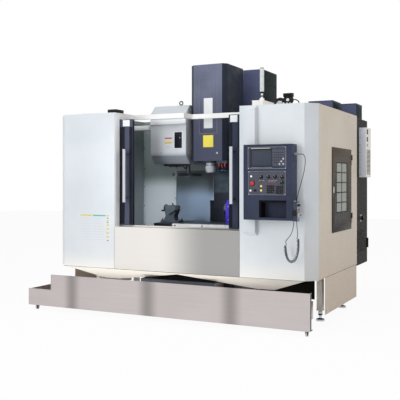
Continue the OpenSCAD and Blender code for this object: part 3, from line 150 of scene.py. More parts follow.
def applied(seed: bpy.types.Object, name: str) -> bpy.types.Mesh:
    """Turn an object with its modifiers into a plain mesh, and remove the object."""
    mesh = bpy.data.meshes.new_from_object(seed.evaluated_get(bpy.context.evaluated_depsgraph_get()))
    bpy.data.objects.remove(seed)
    mesh.name = name
    return mesh


def crease(mesh: bmesh.types.BMesh) -> None:
    """Keep the edges sharp that turn far or have one face only."""
    for edge in mesh.edges:
        edge.smooth = edge.calc_face_angle(math.pi) < SHARP


class Kind(Enum):
    """What a finish is made of."""

    PAINT = "textured paint"
    BRUSHED = "brushed metal"
    CAST = "painted casting"
    MOULDED = "moulded plastic"
    CLEAR = "clear sheet"
    RUBBER = "rubber"
    PRINT = "printed film"


class Shading:
    """One node material in the making.

    Args:
        name: the material's name.
    """

    def __init__(self, name: str) -> None:
        self.material = bpy.data.materials.new(name)
        self.material.use_nodes = True
        self.tree = self.material.node_tree
        self.shader = self.tree.nodes["Principled BSDF"]
        self.coords = self.tree.nodes.new("ShaderNodeTexCoord").outputs["Object"]

    def put(self, value: object, socket: bpy.types.NodeSocket) -> None:
        """Link an output to a socket, or set the socket's own value."""
        feed(self.tree, value, socket)

    def noise(self, scale: float, detail: float, stretch: Point = (1, 1, 1)) -> bpy.types.NodeSocket:
        """Make a noise that may be stretched along the axes.

        Args:
            scale: features per metre.
            detail: octaves of the noise.
            stretch: factors on the coordinates.

        Returns:
            The noise's value output.
        """
        mapping = self.tree.nodes.new("ShaderNodeMapping")
        self.put(self.coords, mapping.inputs["Vector"])
        mapping.inputs["Scale"].default_value = stretch
        node = self.tree.nodes.new("ShaderNodeTexNoise")
        self.put(mapping.outputs["Vector"], node.inputs["Vector"])
        node.inputs["Scale"].default_value = scale
        node.inputs["Detail"].default_value = detail
        return node.outputs["Fac"]

    def level(self, value: object, low: float, high: float, start: float = 0.3,
              end: float = 0.7) -> bpy.types.NodeSocket:
        """Map a value from one range into another, with smooth ends."""
        node = self.tree.nodes.new("ShaderNodeMapRange")
        node.interpolation_type = "SMOOTHSTEP"
        self.put(value, node.inputs["Value"])
        for name, number in (("From Min", start), ("From Max", end), ("To Min", low), ("To Max", high)):
            node.inputs[name].default_value = number
        return node.outputs["Result"]

    def blend(self, share: object, first: object, second: object) -> bpy.types.NodeSocket:
        """Mix two colours by a share, each an output, display values (tuple) or linear light (list)."""
        node = self.tree.nodes.new("ShaderNodeMix")
        node.data_type = "RGBA"
        sockets = [s for s in node.inputs if s.type == "RGBA"]
        self.put(share, node.inputs["Factor"])
        for value, socket in ((first, sockets[0]), (second, sockets[1])):
            self.put((*tone(*value), 1.0) if isinstance(value, tuple) else value, socket)
        return [s for s in node.outputs if s.type == "RGBA"][0]

    def along(self, axis: str) -> bpy.types.NodeSocket:
        """Return the coordinate along an axis."""
        split = self.tree.nodes.new("ShaderNodeSeparateXYZ")
        self.put(self.coords, split.inputs["Vector"])
        return split.outputs[axis]

    def band(self, centre: float, half: float) -> bpy.types.NodeSocket:
        """Make a value that is 1 at a place along X and fades to 0 on both sides of it."""
        away = summed(self.tree, "ABSOLUTE", summed(self.tree, "SUBTRACT", self.along("X"), centre))
        return self.level(away, 1.0, 0.0, 0.0, half)

    def rise(self, axis: str, low: float, high: float) -> bpy.types.NodeSocket:
        """Make a value that goes from 0 to 1 between two places along an axis."""
        return self.level(self.along(axis), 0.0, 1.0, low, high)

    def bump(self, height: bpy.types.NodeSocket, strength: float, depth: float) -> None:
        """Let a value raise the surface by a depth in millimetres."""
        node = self.tree.nodes.new("ShaderNodeBump")
        node.inputs["Strength"].default_value = strength
        node.inputs["Distance"].default_value = depth * MM
        self.put(height, node.inputs["Height"])
        self.put(node.outputs["Normal"], self.shader.inputs["Normal"])


@dataclass(frozen=True)
class Finish:
    """A surface finish: what it is made of, its two tones and its texture.

    Args:
        name: the material's name.
        kind: what it is made of.
        slot: the record's material slot; not used.
        colour: the main tone, in display values from 0 to 255 like all its tones.
        tint: the second tone, which shows in clouds, streaks or lines.
        rough: mean roughness.
        grain: texture features per metre.
        depth: height of the texture in millimetres.
        stretch: factors on the coordinates of a brushed grain.
        bands: places and half widths along X, in metres, where a sheet is darker, as painted reflection.
        foot: tone at the lower end and the two heights between which it fades, in metres; on most finishes
            painted light and shade.
        fade: tone at the right end and the two places along X between which it fades in, in metres; painted
            reflection on the sill.
        shine: strength of the clear reflection on what isn't metal.
        glow: light that a lit button gives off.
    """

    name: str
    kind: Kind
    slot: str
    colour: Colour
    tint: Colour
    rough: float = 0.42
    grain: float = 700.0
    depth: float = 0.2
    stretch: tuple[float, float, float] = (2.0, 2.0, 700.0)
    bands: tuple[tuple[float, float], ...] = ()
    foot: tuple[Colour, float, float] | None = None
    fade: tuple[Colour, float, float] | None = None
    shine: float = 0.4
    glow: float = 0.0

    def material(self) -> bpy.types.Material:
        """Return the finish's material, made on its first use."""
        known = bpy.data.materials.get(self.name)
        if known is not None:
            return known
        bench = Shading(self.name)
        recipe = {
            Kind.PAINT: self._paint, Kind.BRUSHED: self._brushed, Kind.CAST: self._cast,
            Kind.MOULDED: self._moulded, Kind.CLEAR: self._clear, Kind.RUBBER: self._moulded,
            Kind.PRINT: self._print,
        }[self.kind]
        recipe(bench)
        if self.kind is not Kind.CLEAR:
            bench.shader.inputs["Specular IOR Level"].default_value = self.shine
        return bench.material

    def _toned(self, bench: Shading, colour: bpy.types.NodeSocket) -> bpy.types.NodeSocket:
        """Let a colour change towards the foot and towards the right end; on most finishes this is painted
        light and shade.
        """
        if self.foot:
            near, low, high = self.foot
            colour = bench.blend(bench.rise("Z", low, high), near, colour)
        if self.fade:
            far, start, end = self.fade
            colour = bench.blend(bench.rise("X", start, end), colour, far)
        return colour

    def _paint(self, bench: Shading) -> None:
        """Paint with an orange-peel surface, faint clouds and runs of dust."""
        pins = bench.shader.inputs
        cloud = bench.level(bench.noise(*PAINT_CLOUDS), 0.0, 0.8)
        runs = bench.level(bench.noise(*DUST_RUNS), 0.0, 0.35, 0.5, 0.8)
        colour = bench.blend(runs, bench.blend(cloud, self.colour, self.tint), self.tint)
        bench.put(self._toned(bench, colour), pins["Base Color"])
        mottle = bench.noise(self.grain * 0.05, 4.0)
        bench.put(bench.level(mottle, self.rough - 0.08, self.rough + 0.1), pins["Roughness"])
        bench.bump(bench.noise(self.grain, 2.0), 0.35, self.depth)

    def _brushed(self, bench: Shading) -> None:
        """Bare metal with drawn lines along its grain and soft darker bands of painted reflection."""
        pins = bench.shader.inputs
        lines = bench.noise(1.0, 6.0, self.stretch)
        cloud = bench.level(bench.noise(*METAL_CLOUDS), 0.0, 0.6)
        colour = bench.blend(bench.level(lines, 0.0, 0.7), self.colour, self.tint)
        colour = bench.blend(cloud, colour, self.tint)
        for centre, half in self.bands:
            dark = [BAND_SHADE * v for v in tone(*self.tint)] + [1.0]
            colour = bench.blend(bench.band(centre, half), colour, dark)
        bench.put(self._toned(bench, colour), pins["Base Color"])
        pins["Metallic"].default_value = 1.0
        pins["Anisotropic"].default_value = BRUSH_DRAW
        bench.put(bench.level(lines, self.rough - 0.07, self.rough + 0.1), pins["Roughness"])
        bench.bump(lines, 0.12, self.depth)

    def _cast(self, bench: Shading) -> None:
        """Painted casting with a sandy skin and darker patches at random."""
        pins = bench.shader.inputs
        sand = bench.noise(self.grain, 6.0)
        patch = bench.level(bench.noise(*CAST_PATCHES), 0.0, 0.9)
        bench.put(bench.blend(patch, self.colour, self.tint), pins["Base Color"])
        bench.put(bench.level(sand, self.rough - 0.1, self.rough + 0.12), pins["Roughness"])
        bench.bump(sand, 0.5, self.depth)

    def _moulded(self, bench: Shading) -> None:
        """Moulded plastic or rubber with a fine eroded skin and a little handling shine."""
        pins = bench.shader.inputs
        skin = bench.noise(self.grain * 2.0, 2.0)
        hands = bench.level(bench.noise(*HAND_MARKS), 0.0, 0.8)
        bench.put(bench.blend(hands, self.colour, self.tint), pins["Base Color"])
        bench.put(bench.level(hands, self.rough + 0.06, self.rough - 0.08, 0.0, 1.0), pins["Roughness"])
        bench.bump(skin, 0.3, self.depth)

    def _clear(self, bench: Shading) -> None:
        """Clear or tinted sheet with faint smears."""
        pins = bench.shader.inputs
        smear = bench.noise(*GLASS_SMEARS)
        bench.put(bench.blend(bench.level(smear, 0.0, 0.5), self.colour, self.tint), pins["Base Color"])
        bench.put(bench.level(smear, self.rough, self.rough + 0.1), pins["Roughness"])
        pins["Transmission Weight"].default_value = CLEAR_SHARE
        pins["IOR"].default_value = CLEAR_IOR

    def _print(self, bench: Shading) -> None:
        """Printed film with slight ink unevenness."""
        pins = bench.shader.inputs
        ink = bench.level(bench.noise(*INK_SPOTS), 0.0, 0.6)
        bench.put(bench.blend(ink, self.colour, self.tint), pins["Base Color"])
        wear = bench.noise(*FILM_WEAR)
        bench.put(bench.level(wear, self.rough - 0.05, self.rough + 0.08), pins["Roughness"])
        if self.glow:
            pins["Emission Color"].default_value = (*tone(*self.colour), 1.0)
            pins["Emission Strength"].default_value = self.glow


# White panel paint; its foot tone, warmer and lighter below 0.75 m, is painted reflection and light.
WHITE = Finish("white_panel_paint", Kind.PAINT, "white_paint", (219, 224, 228), (210, 216, 221),
               foot=((230, 229, 226), 0.45, 0.75), shine=0.3)
# A darker copy of the white paint for the right panel's faces that look left or right: painted shade, greyer
# again towards the foot.
WHITE_SIDE_SHADE = Finish("white_paint_painted_side_shade", Kind.PAINT, "white_paint", (198, 202, 207), (190, 195, 200),
              foot=((194, 194, 195), 0.5, 1.2), shine=0.3)
# A brightened copy of the white paint: painted light on the left panel's return face and on the magazine
# cover's upper lip.
WHITE_PAINTED_LIGHT = Finish("white_paint_painted_light", Kind.PAINT, "white_paint", (250, 251, 253), (244, 246, 249), shine=0.3)
# White paint for the top beam and small white parts, brighter than the panels' white: painted light on the
# shaded beam.
BEAM_WHITE = Finish("beam_paint", Kind.PAINT, "white_paint", (248, 248, 246), (240, 240, 238), shine=0.3)
# The under panel's and leg posts' white, as bright as it goes: painted light on parts in shade under the
# machine.
UNDER_PAINTED_LIGHT = Finish("under_white_painted_light", Kind.PAINT, "white_paint", (250, 246, 238), (244, 239, 229), shine=0.2)
# The side panels', skirts' and panel screws' paint: the white drawn beige as painted warm shade, darker still
# towards the foot as painted shade.
WARM_SHADE_WHITE = Finish("white_paint_painted_warm_shade", Kind.PAINT, "beige_paint", (202, 191, 177), (194, 183, 168),
               foot=((188, 173, 155), 0.1, 1.3), shine=0.3)
# The head cover's slate paint; its darker foot below 2.65 m is painted reflection, lighter at the top.
NAVY = Finish("slate_cover_paint", Kind.PAINT, "blue_paint", (112, 117, 140), (88, 92, 114), 0.36, 260.0, 0.7,
              foot=((68, 72, 92), 1.85, 2.65))
# A dark copy of the cover paint for faces that look left or right: painted shade.
NAVY_SIDE_SHADE = Finish("cover_paint_painted_side_shade", Kind.PAINT, "blue_paint", (44, 50, 62), (37, 42, 53), 0.5, 260.0, 0.7,
                   shine=0.1)
DOOR_GREY = Finish("door_stile_paint", Kind.PAINT, "blue_paint", (84, 87, 105), (72, 75, 93), 0.5, 420.0,
                   shine=0.12)
DOOR_NAVY = Finish("door_frame_paint", Kind.PAINT, "blue_paint", (58, 64, 83), (49, 54, 72), 0.5, 420.0,
                   shine=0.12)
HOOD_NAVY = Finish("hood_paint", Kind.PAINT, "blue_paint", (88, 94, 124), (76, 82, 112), 0.5, 420.0,
                   shine=0.15)
# A dark copy of the hood paint: painted shade on faces that look left or right and on the roof boxes' right
# faces, and the dark tone of the hood's seams.
HOOD_SHADE_AND_SEAMS = Finish("hood_paint_painted_shade_and_seams", Kind.PAINT, "blue_paint", (36, 46, 48), (30, 39, 41), 0.6, 420.0,
                   shine=0.05)
OLIVE = Finish("side_door_paint", Kind.PAINT, "black_metal", (74, 65, 52), (64, 56, 45), 0.5,
               foot=((46, 44, 40), 1.0, 1.75), shine=0.1)
BROWN = Finish("dark_door_paint", Kind.PAINT, "black_metal", (29, 28, 27), (31, 30, 28), 0.55, shine=0.07)
# Splash wall paint; the lighter foot below 1.38 m is painted light, the darker wall above 1.58 m painted
# shade.
GREY = Finish("splash_wall_paint", Kind.PAINT, "grey_paint", (150, 163, 161), (134, 148, 147), 0.36, 420.0,
              foot=((226, 236, 243), 1.38, 1.58), shine=0.25)
# A rear wall panel in a bluer tone of its own, with painted shade: dark above 1.46 m, lighter below 1.26 m.
WALL_PANEL_TONE_AND_SHADE = Finish("rear_wall_panel_tone_and_painted_shade", Kind.PAINT, "grey_paint", (96, 106, 110), (88, 98, 102), 0.36, 420.0,
                foot=((150, 170, 196), 1.26, 1.46), shine=0.25)
SHADE = Finish("side_wall_paint", Kind.PAINT, "grey_paint", (110, 122, 122), (98, 110, 110), 0.36, 420.0,
               foot=((166, 176, 180), 1.45, 2.0), shine=0.25)
# Magazine cover paint; the darker foot below 1.84 m is painted shade on its lower bevel.
PALE = Finish("magazine_paint", Kind.PAINT, "white_paint", (212, 216, 221), (200, 205, 211),
              foot=((160, 166, 175), 1.77, 1.84), shine=0.3)
# The cooler's paint, brighter and bluer than its sides: painted light on a front that lies in the machine's
# shade.
COOLER_FRONT_LIGHT = Finish("cooler_paint_painted_light", Kind.PAINT, "white_paint", (240, 243, 252), (230, 234, 245), shine=0.3)
# A warm copy of the cooler's paint for faces that look left or right and for its grille slats: painted warm
# light.
COOLER_SIDE_WARM_LIGHT = Finish("cooler_side_painted_warm_light", Kind.PAINT, "white_paint", (236, 232, 224), (226, 222, 214),
                     shine=0.2)
VIOLET = Finish("violet_gloss_paint", Kind.PAINT, "violet_paint", (70, 52, 200), (56, 40, 176), 0.28)
# Brushed stainless sill, bright at the left and fading darker towards the right from X -0.1 m: painted
# reflection.
SILL = Finish("sill_stainless", Kind.BRUSHED, "stainless", (250, 247, 242), (242, 238, 233), 0.36, 700.0,
              0.03, (2.0, 2.0, 520.0), fade=((176, 175, 173), -0.1, 0.48))
# The table's stainless strip drawn as a bright matt casting: its brightness is painted reflection.
STRIP = Finish("strip_stainless", Kind.CAST, "stainless", (238, 238, 238), (226, 226, 226), 0.36, 900.0, 0.03,
               shine=0.5)
# Brushed stainless tank with three soft dark vertical bands: painted reflection.
TANK = Finish("tank_stainless", Kind.BRUSHED, "stainless", (212, 204, 203), (199, 191, 190), 0.4, 700.0, 0.03,
              (1.5, 1.5, 420.0), ((-1.1, 0.13), (-0.12, 0.15), (0.84, 0.15)))
STEEL = Finish("turned_steel", Kind.BRUSHED, "steel", (196, 197, 199), (166, 168, 171), 0.27, 700.0, 0.02,
               (60.0, 60.0, 1400.0))
BRIGHT = Finish("bright_bar_steel", Kind.BRUSHED, "chrome", (224, 227, 231), (206, 210, 216), 0.34, 700.0,
                0.01, (900.0, 900.0, 6.0))
NOSE = Finish("ground_nose_steel", Kind.CAST, "steel", (190, 192, 197), (156, 159, 166), 0.36, 900.0, 0.05,
              shine=0.6)
IRON = Finish("machined_iron", Kind.BRUSHED, "iron", (116, 121, 128), (92, 97, 104), 0.38, 700.0, 0.03,
              (3.0, 420.0, 420.0))
CASTING = Finish("dark_casting_paint", Kind.CAST, "iron", (80, 90, 99), (60, 69, 78), 0.5, 240.0, 0.6,
                 shine=0.2)
PLATE = Finish("slide_plate_steel", Kind.BRUSHED, "steel", (92, 97, 112), (74, 79, 93), 0.42, 700.0, 0.02,
               (3.0, 3.0, 380.0))
BLACK = Finish("black_satin_paint", Kind.PAINT, "black_metal", (38, 38, 42), (28, 28, 31), 0.45, shine=0.2)
PANEL = Finish("console_plastic", Kind.MOULDED, "panel_plastic", (64, 69, 84), (55, 60, 74), 0.5, shine=0.15)
DESK = Finish("operator_plastic", Kind.MOULDED, "panel_plastic", (82, 84, 95), (72, 74, 85), 0.5, shine=0.2)
BEZEL = Finish("bezel_grey", Kind.MOULDED, "panel_plastic", (138, 140, 152), (120, 122, 134), 0.4)
KEYCAP = Finish("key_plastic", Kind.MOULDED, "panel_plastic", (92, 93, 106), (80, 81, 94), 0.42)
PALE_KEY = Finish("pale_key_plastic", Kind.MOULDED, "panel_plastic", (198, 200, 206), (180, 182, 190), 0.4)
JET = Finish("jet_plastic", Kind.MOULDED, "black_plastic", (30, 30, 33), (20, 20, 22), 0.42, shine=0.25)
RED = Finish("red_gloss_plastic", Kind.MOULDED, "red_plastic", (214, 46, 50), (190, 34, 40), 0.24)
BLUE = Finish("blue_valve_plastic", Kind.MOULDED, "black_plastic", (40, 86, 150), (32, 70, 128), 0.34)
ORANGE = Finish("orange_valve_plastic", Kind.MOULDED, "red_plastic", (226, 84, 52), (204, 68, 42), 0.34)
RUBBER = Finish("jacket_rubber", Kind.RUBBER, "cord_rubber", (34, 34, 37), (24, 24, 27), 0.56)
SEAL = Finish("seal_rubber", Kind.RUBBER, "cord_rubber", (34, 36, 46), (26, 28, 36), 0.66, shine=0.1)
CLEAR = Finish("door_glass", Kind.CLEAR, "window", (214, 226, 230), (200, 214, 220), 0.03)
PANE = Finish("side_pane", Kind.PRINT, "dark_window", (116, 122, 112), (86, 94, 85), 0.2, shine=0.3)
SMOKED = Finish("smoked_window", Kind.PRINT, "dark_window", (34, 36, 44), (24, 26, 33), 0.12, shine=0.2)
LCD = Finish("display_glass", Kind.PRINT, "dark_window", (64, 71, 84), (55, 62, 74), 0.35, shine=0.15)
LINE = Finish("chart_line", Kind.PRINT, "white_paint", (204, 206, 216), (196, 198, 210))
YELLOW = Finish("yellow_film", Kind.PRINT, "white_paint", (238, 222, 92), (228, 210, 76))
GOLD = Finish("gold_film", Kind.PRINT, "white_paint", (226, 206, 92), (214, 192, 78))
TEAL = Finish("teal_film", Kind.PRINT, "white_paint", (104, 190, 178), (90, 174, 164))
SCARLET = Finish("scarlet_film", Kind.PRINT, "red_plastic", (216, 64, 60), (200, 52, 50))
BLANK = Finish("blank_plate_film", Kind.PRINT, "white_paint", (236, 238, 238), (228, 230, 231))
LIT_WHITE = Finish("lit_white_button", Kind.PRINT, "white_paint", (244, 244, 240), (232, 232, 228), glow=0.25)
LIT_AMBER = Finish("lit_amber_button", Kind.PRINT, "red_plastic", (244, 214, 120), (232, 196, 96), glow=0.3)
LENS = Finish("tower_lens", Kind.PRINT, "white_paint", (214, 220, 220), (196, 204, 206), 0.2)
# Near-black for holes, sockets, a grille's backing and the console pocket's walls: painted shade in hollows.
HOLLOW_SHADE = Finish("hollow_painted_shade", Kind.MOULDED, "black_plastic", (22, 22, 24), (15, 15, 17), 0.7, shine=0.1)
BAR = Finish("cream_film", Kind.PRINT, "white_paint", (226, 220, 196), (216, 210, 186), shine=0.2)

NODE_FINISHES: dict[str, Finish] = {
    "bed": BLACK, "levelling_feet": STEEL, "column": CASTING, "column_hood": HOOD_NAVY,
    "left_front_panel": WHITE, "right_front_panel": WHITE, "door_sill": SILL, "top_beam": BEAM_WHITE,
    "left_side_panel": WARM_SHADE_WHITE, "right_side_panel": WARM_SHADE_WHITE, "base_skirts": WARM_SHADE_WHITE, "under_panel": UNDER_PAINTED_LIGHT,
    "splash_walls": GREY, "servo_motors": BLACK, "cabinet": BROWN, "cabinet_door": BROWN,
    "air_conditioner": COOLER_FRONT_LIGHT, "main_switch": JET, "control_box": DOOR_NAVY, "screen_unit": PANEL,
    "operator_panel": DESK, "estop_button": RED, "feed_knob": JET, "pendant": PANEL,
    "pendant_dial": STEEL, "cord_plug": BEZEL, "cord_upper": RUBBER, "cord_coil": RUBBER,
    "cord_lower": RUBBER, "tower_light": BEAM_WHITE, "air_unit": JET, "magazine_cover": PALE,
    "changer_frame": CASTING, "tool_disc": STEEL, "changer_sleeve": IRON, "changer_arm": IRON,
    "left_door": DOOR_GREY, "left_window": CLEAR, "left_handle": BRIGHT, "right_door": DOOR_NAVY,
    "right_window": CLEAR, "right_handle": BRIGHT, "saddle": CASTING, "table": IRON, "table_strip": STRIP,
    "tailstock": CASTING, "quill": STEEL, "handwheel": JET, "rotary_table": VIOLET, "faceplate": IRON,
    "head_casting": CASTING, "head_cover": NAVY, "spindle": STEEL, "z_cover": PLATE, "y_screw": STEEL,
    "x_screw": STEEL, "z_screw": STEEL, "coolant_tank": TANK, "side_door": OLIVE, "side_window": PANE,
}


def shown(name: str, mesh: bpy.types.Mesh, body: str,
          nodes: Sequence[str] = ()) -> bpy.types.Object:
    """Put a finished mesh on a body.

    Args:
        name: the piece's name.
        mesh: its mesh, already in its place.
        body: the body that it rides on.
        nodes: the CAD nodes that it stands for.

    Returns:
        The piece's object.
    """
    piece = linked(name, mesh)
    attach(piece, body)
    if nodes:
        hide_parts(*nodes)
    LOG.info("%s: %d faces, on %s", name, len(mesh.polygons), body)
    return piece


class Workpiece:
    """A mesh piece that grows from soft-edged boxes, turned profiles, prisms and tubes.

    Args:
        name: the piece's name.
        body: the body that it rides on.
        finish: the finish of what is added first.
    """

    def __init__(self, name: str, body: str, finish: Finish) -> None:
        self.name, self.body = name, body
        self.finishes, self.index = [finish], 0
        self.bm = bmesh.new()

    def paint(self, finish: Finish) -> Workpiece:
        """Give what is added next another finish."""
        if finish not in self.finishes:
            self.finishes.append(finish)
        self.index = self.finishes.index(finish)
        return self

    def _add(self, part: bmesh.types.BMesh) -> Workpiece:
        """Take over a closed part and mark its sharp edges."""
        bmesh.ops.recalc_face_normals(part, faces=part.faces)
        for face in part.faces:
            face.material_index, face.smooth = self.index, True
        crease(part)
        mesh = bpy.data.meshes.new("part")
        part.to_mesh(mesh)
        part.free()
        self.bm.from_mesh(mesh)
        bpy.data.meshes.remove(mesh)
        return self

    @staticmethod
    def _round(part: bmesh.types.BMesh, width: float, clamp: bool = False) -> None:
        """Round every edge of a part."""
        bmesh.ops.bevel(part, geom=list(part.edges), offset=width, segments=BEVEL_STEPS, affect="EDGES",
                        profile=ROUND_PROFILE, clamp_overlap=clamp)

    def box(self, low: Point, high: Point, soft: float) -> Workpiece:
        """Add a box between two corners, with rounded edges."""
        part = bmesh.new()
        a, b = at(*low), at(*high)
        size = b - a
        bmesh.ops.create_cube(part, size=1.0, matrix=Matrix.LocRotScale((a + b) / 2, None, size))
        self._round(part, min(soft * MM, BEVEL_SHARE * min(abs(v) for v in size)))
        return self._add(part)

    def turned(self, base: Point, axis: Point, profile: Profile, steps: int) -> Workpiece:
        """Add a turned shape.

        Args:
            base: a point on its axis.
            axis: the axis's direction.
            profile: pairs of distance along the axis and radius, in millimetres.
            steps: sides of a full turn.

        Returns:
            The piece itself.
        """
        part = bmesh.new()
        turn = Vector(axis).to_track_quat("Z", "Y").to_matrix()
        rings: list[list[bmesh.types.BMVert]] = []
        for along, radius in profile:
            count = steps if radius > 0 else 1
            angles = (2 * math.pi * i / steps for i in range(count))
            rings.append([part.verts.new(at(*base) + turn @ Vector((
                radius * math.cos(a), radius * math.sin(a), along)) * MM) for a in angles])
        for low, high in zip(rings, rings[1:]):
            for i in range(steps):
                corners = [low[i % len(low)], low[(i + 1) % len(low)],
                           high[(i + 1) % len(high)], high[i % len(high)]]
                part.faces.new(list(dict.fromkeys(corners)))
        for ring in (rings[0], rings[-1]):
            if len(ring) > 1:
                part.faces.new(ring)
        return self._add(part)

    def prism(self, outline: Profile, start: float, depth: float, soft: float) -> Workpiece:
        """Add an outline in the XZ plane pushed along Y from a start, with rounded edges."""
        part = bmesh.new()
        near = [part.verts.new(at(x, start, z)) for x, z in outline]
        far = [part.verts.new(at(x, start + depth, z)) for x, z in outline]
        part.faces.new(near)
        part.faces.new(list(reversed(far)))
        for i in range(len(outline)):
            j = (i + 1) % len(outline)
            part.faces.new((near[i], near[j], far[j], far[i]))
        bmesh.ops.recalc_face_normals(part, faces=part.faces)
        self._round(part, soft * MM, True)
        return self._add(part)

    def tube(self, points: Sequence[Point], radius: float, steps: int) -> Workpiece:
        """Add a round bar or hose along points, with closed ends."""
        part = bmesh.new()
        spots = [at(*p) for p in points]
        rings = []
        side = Vector(START_SIDE)
        for i, spot in enumerate(spots):
            ahead = (spots[min(i + 1, len(spots) - 1)] - spots[max(i - 1, 0)]).normalized()
            side = (side - ahead * side.dot(ahead)).normalized()
            other = ahead.cross(side)
            rings.append([part.verts.new(spot + (side * math.cos(a) + other * math.sin(a)) * radius * MM)
                          for a in (2 * math.pi * k / steps for k in range(steps))])
        for low, high in zip(rings, rings[1:]):
            for k in range(steps):
                j = (k + 1) % steps
                part.faces.new((low[k], low[j], high[j], high[k]))
        part.faces.new(rings[0])
        part.faces.new(rings[-1])
        return self._add(part)

    def rim(self, low: Point, high: Point, width: float, soft: float, across: int = 0) -> Workpiece:
        """Add an upright picture-frame rim inside two corners, across the X or the Y axis."""
        left, right, foot, head = low[across], high[across], low[2], high[2]
        for a, b, c, d in ((left, right, foot, foot + width), (left, right, head - width, head),
                           (left, left + width, foot + width, head - width),
                           (right - width, right, foot + width, head - width)):
            near, far = list(low), list(high)
            near[across], near[2], far[across], far[2] = a, c, b, d
            self.box(near, far, soft)
        return self

    def film(self, low: tuple[float, float], high: tuple[float, float], face: float = 0.0,
             proud: float = 0.7) -> Workpiece:
        """Add a thin film on a front face, between two corners in the XZ plane."""
        return self.box((low[0], face - proud, low[1]), (high[0], face + FILM_BACK, high[1]), FILM_BACK)

    def make(self, *nodes: str) -> bpy.types.Object:
        """Turn the piece into an object on its body, in place of the given CAD nodes."""
        mesh = bpy.data.meshes.new(self.name)
        self.bm.to_mesh(mesh)
        self.bm.free()
        for finish in self.finishes:
            mesh.materials.append(finish.material())
        return shown(self.name, mesh, self.body, nodes)


class NodeTree:
    """A Geometry Nodes tree in the making, with named inputs.

    Args:
        name: the tree's name.
    """

    def __init__(self, name: str) -> None:
        self.group = bpy.data.node_groups.new(name, "GeometryNodeTree")
        self.ids: dict[str, str] = {}
        self.group.interface.new_socket("Geometry", in_out="OUTPUT", socket_type="NodeSocketGeometry")
        self.group.interface.new_socket("Geometry", in_out="INPUT", socket_type="NodeSocketGeometry")
        self.entry = self.group.nodes.new("NodeGroupInput")
        self.exit = self.group.nodes.new("NodeGroupOutput")

    def take(self, name: str, kind: str) -> bpy.types.NodeSocket:
        """Add a named input and return the socket that carries it."""
        item = self.group.interface.new_socket(name, in_out="INPUT", socket_type="NodeSocket" + kind)
        self.ids[name] = item.identifier
        return self.entry.outputs[name]

    def add(self, kind: str, **links: object) -> bpy.types.Node:
        """Add a node and feed its inputs, named with underscores for spaces."""
        node = self.group.nodes.new(kind)
        for name, value in links.items():
            feed(self.group, value, node.inputs[name.replace("_", " ")])
        return node

    def end(self, geometry: bpy.types.NodeSocket, material: bpy.types.NodeSocket) -> None:
        """Finish the tree with Realize Instances and Set Material."""
        real = self.add("GeometryNodeRealizeInstances", Geometry=geometry)
        dress = self.add("GeometryNodeSetMaterial", Geometry=real.outputs[0], Material=material)
        self.group.links.new(dress.outputs[0], self.exit.inputs[0])

    def place(self, shape: bpy.types.NodeSocket) -> bpy.types.NodeSocket:
        """Set a shape on every point, turned to the point's facing."""
        facing = self.add("GeometryNodeInputNamedAttribute", Name="facing")
        facing.data_type = "FLOAT_VECTOR"
        turn = self.add("FunctionNodeAlignRotationToVector", Vector=facing.outputs["Attribute"])
        turn.axis = "Z"
        put = self.add("GeometryNodeInstanceOnPoints", Points=self.entry.outputs["Geometry"], Instance=shape,
                       Rotation=turn.outputs[0])
        return put.outputs[0]

    def grow(self, name: str, body: str, finish: Finish, spots: Sequence[Spot],
             **values: float) -> bpy.types.Object:
        """Run the tree on points and make its result a plain mesh on a body.

        Args:
            name: the piece's name.
            body: the body that it rides on.
            finish: its finish.
            spots: pairs of a point in machine millimetres and a direction.
            **values: the tree's sizes, by input name with underscores for spaces.

        Returns:
            The piece's object.
        """
        mesh = bpy.data.meshes.new(name + "_points")
        mesh.from_pydata([at(*p) for p, _ in spots], [], [])
        facing = mesh.attributes.new("facing", "FLOAT_VECTOR", "POINT")
        for item, (_, way) in zip(facing.data, spots):
            item.vector = way
        seed = linked(name + "_points", mesh)
        modifier = seed.modifiers.new("nodes", "NODES")
        modifier.node_group = self.group
        for key, value in values.items():
            modifier[self.ids[key.replace("_", " ")]] = value
        modifier[self.ids["Material"]] = finish.material()
        return shown(name, applied(seed, name), body)


def stud_tree() -> NodeTree:
    """Build the tree for round heads with a sunk socket: screws, bolts, rivets, buttons."""
    tree = NodeTree("round_studs")
    radius, height = tree.take("Radius", "Float"), tree.take("Height", "Float")
    socket, sides = tree.take("Socket", "Float"), tree.take("Sides", "Int")
    sunk, material = tree.take("Sunk", "Float"), tree.take("Material", "Material")
    cone = tree.add("GeometryNodeMeshCone", Vertices=sides,
                    Radius_Top=summed(tree.group, "MULTIPLY", radius, STUD_TAPER), Radius_Bottom=radius,
                    Depth=height)
    inset = tree.add("GeometryNodeExtrudeMesh", Mesh=cone.outputs["Mesh"], Selection=cone.outputs["Top"],
                     Offset_Scale=0.0)
    small = tree.add("GeometryNodeScaleElements", Geometry=inset.outputs["Mesh"],
                     Selection=inset.outputs["Top"], Scale=socket)
    sink = tree.add("GeometryNodeExtrudeMesh", Mesh=small.outputs[0], Selection=inset.outputs["Top"],
                    Offset_Scale=summed(tree.group, "MULTIPLY", height, sunk))
    tree.end(tree.place(sink.outputs["Mesh"]), material)
    return tree


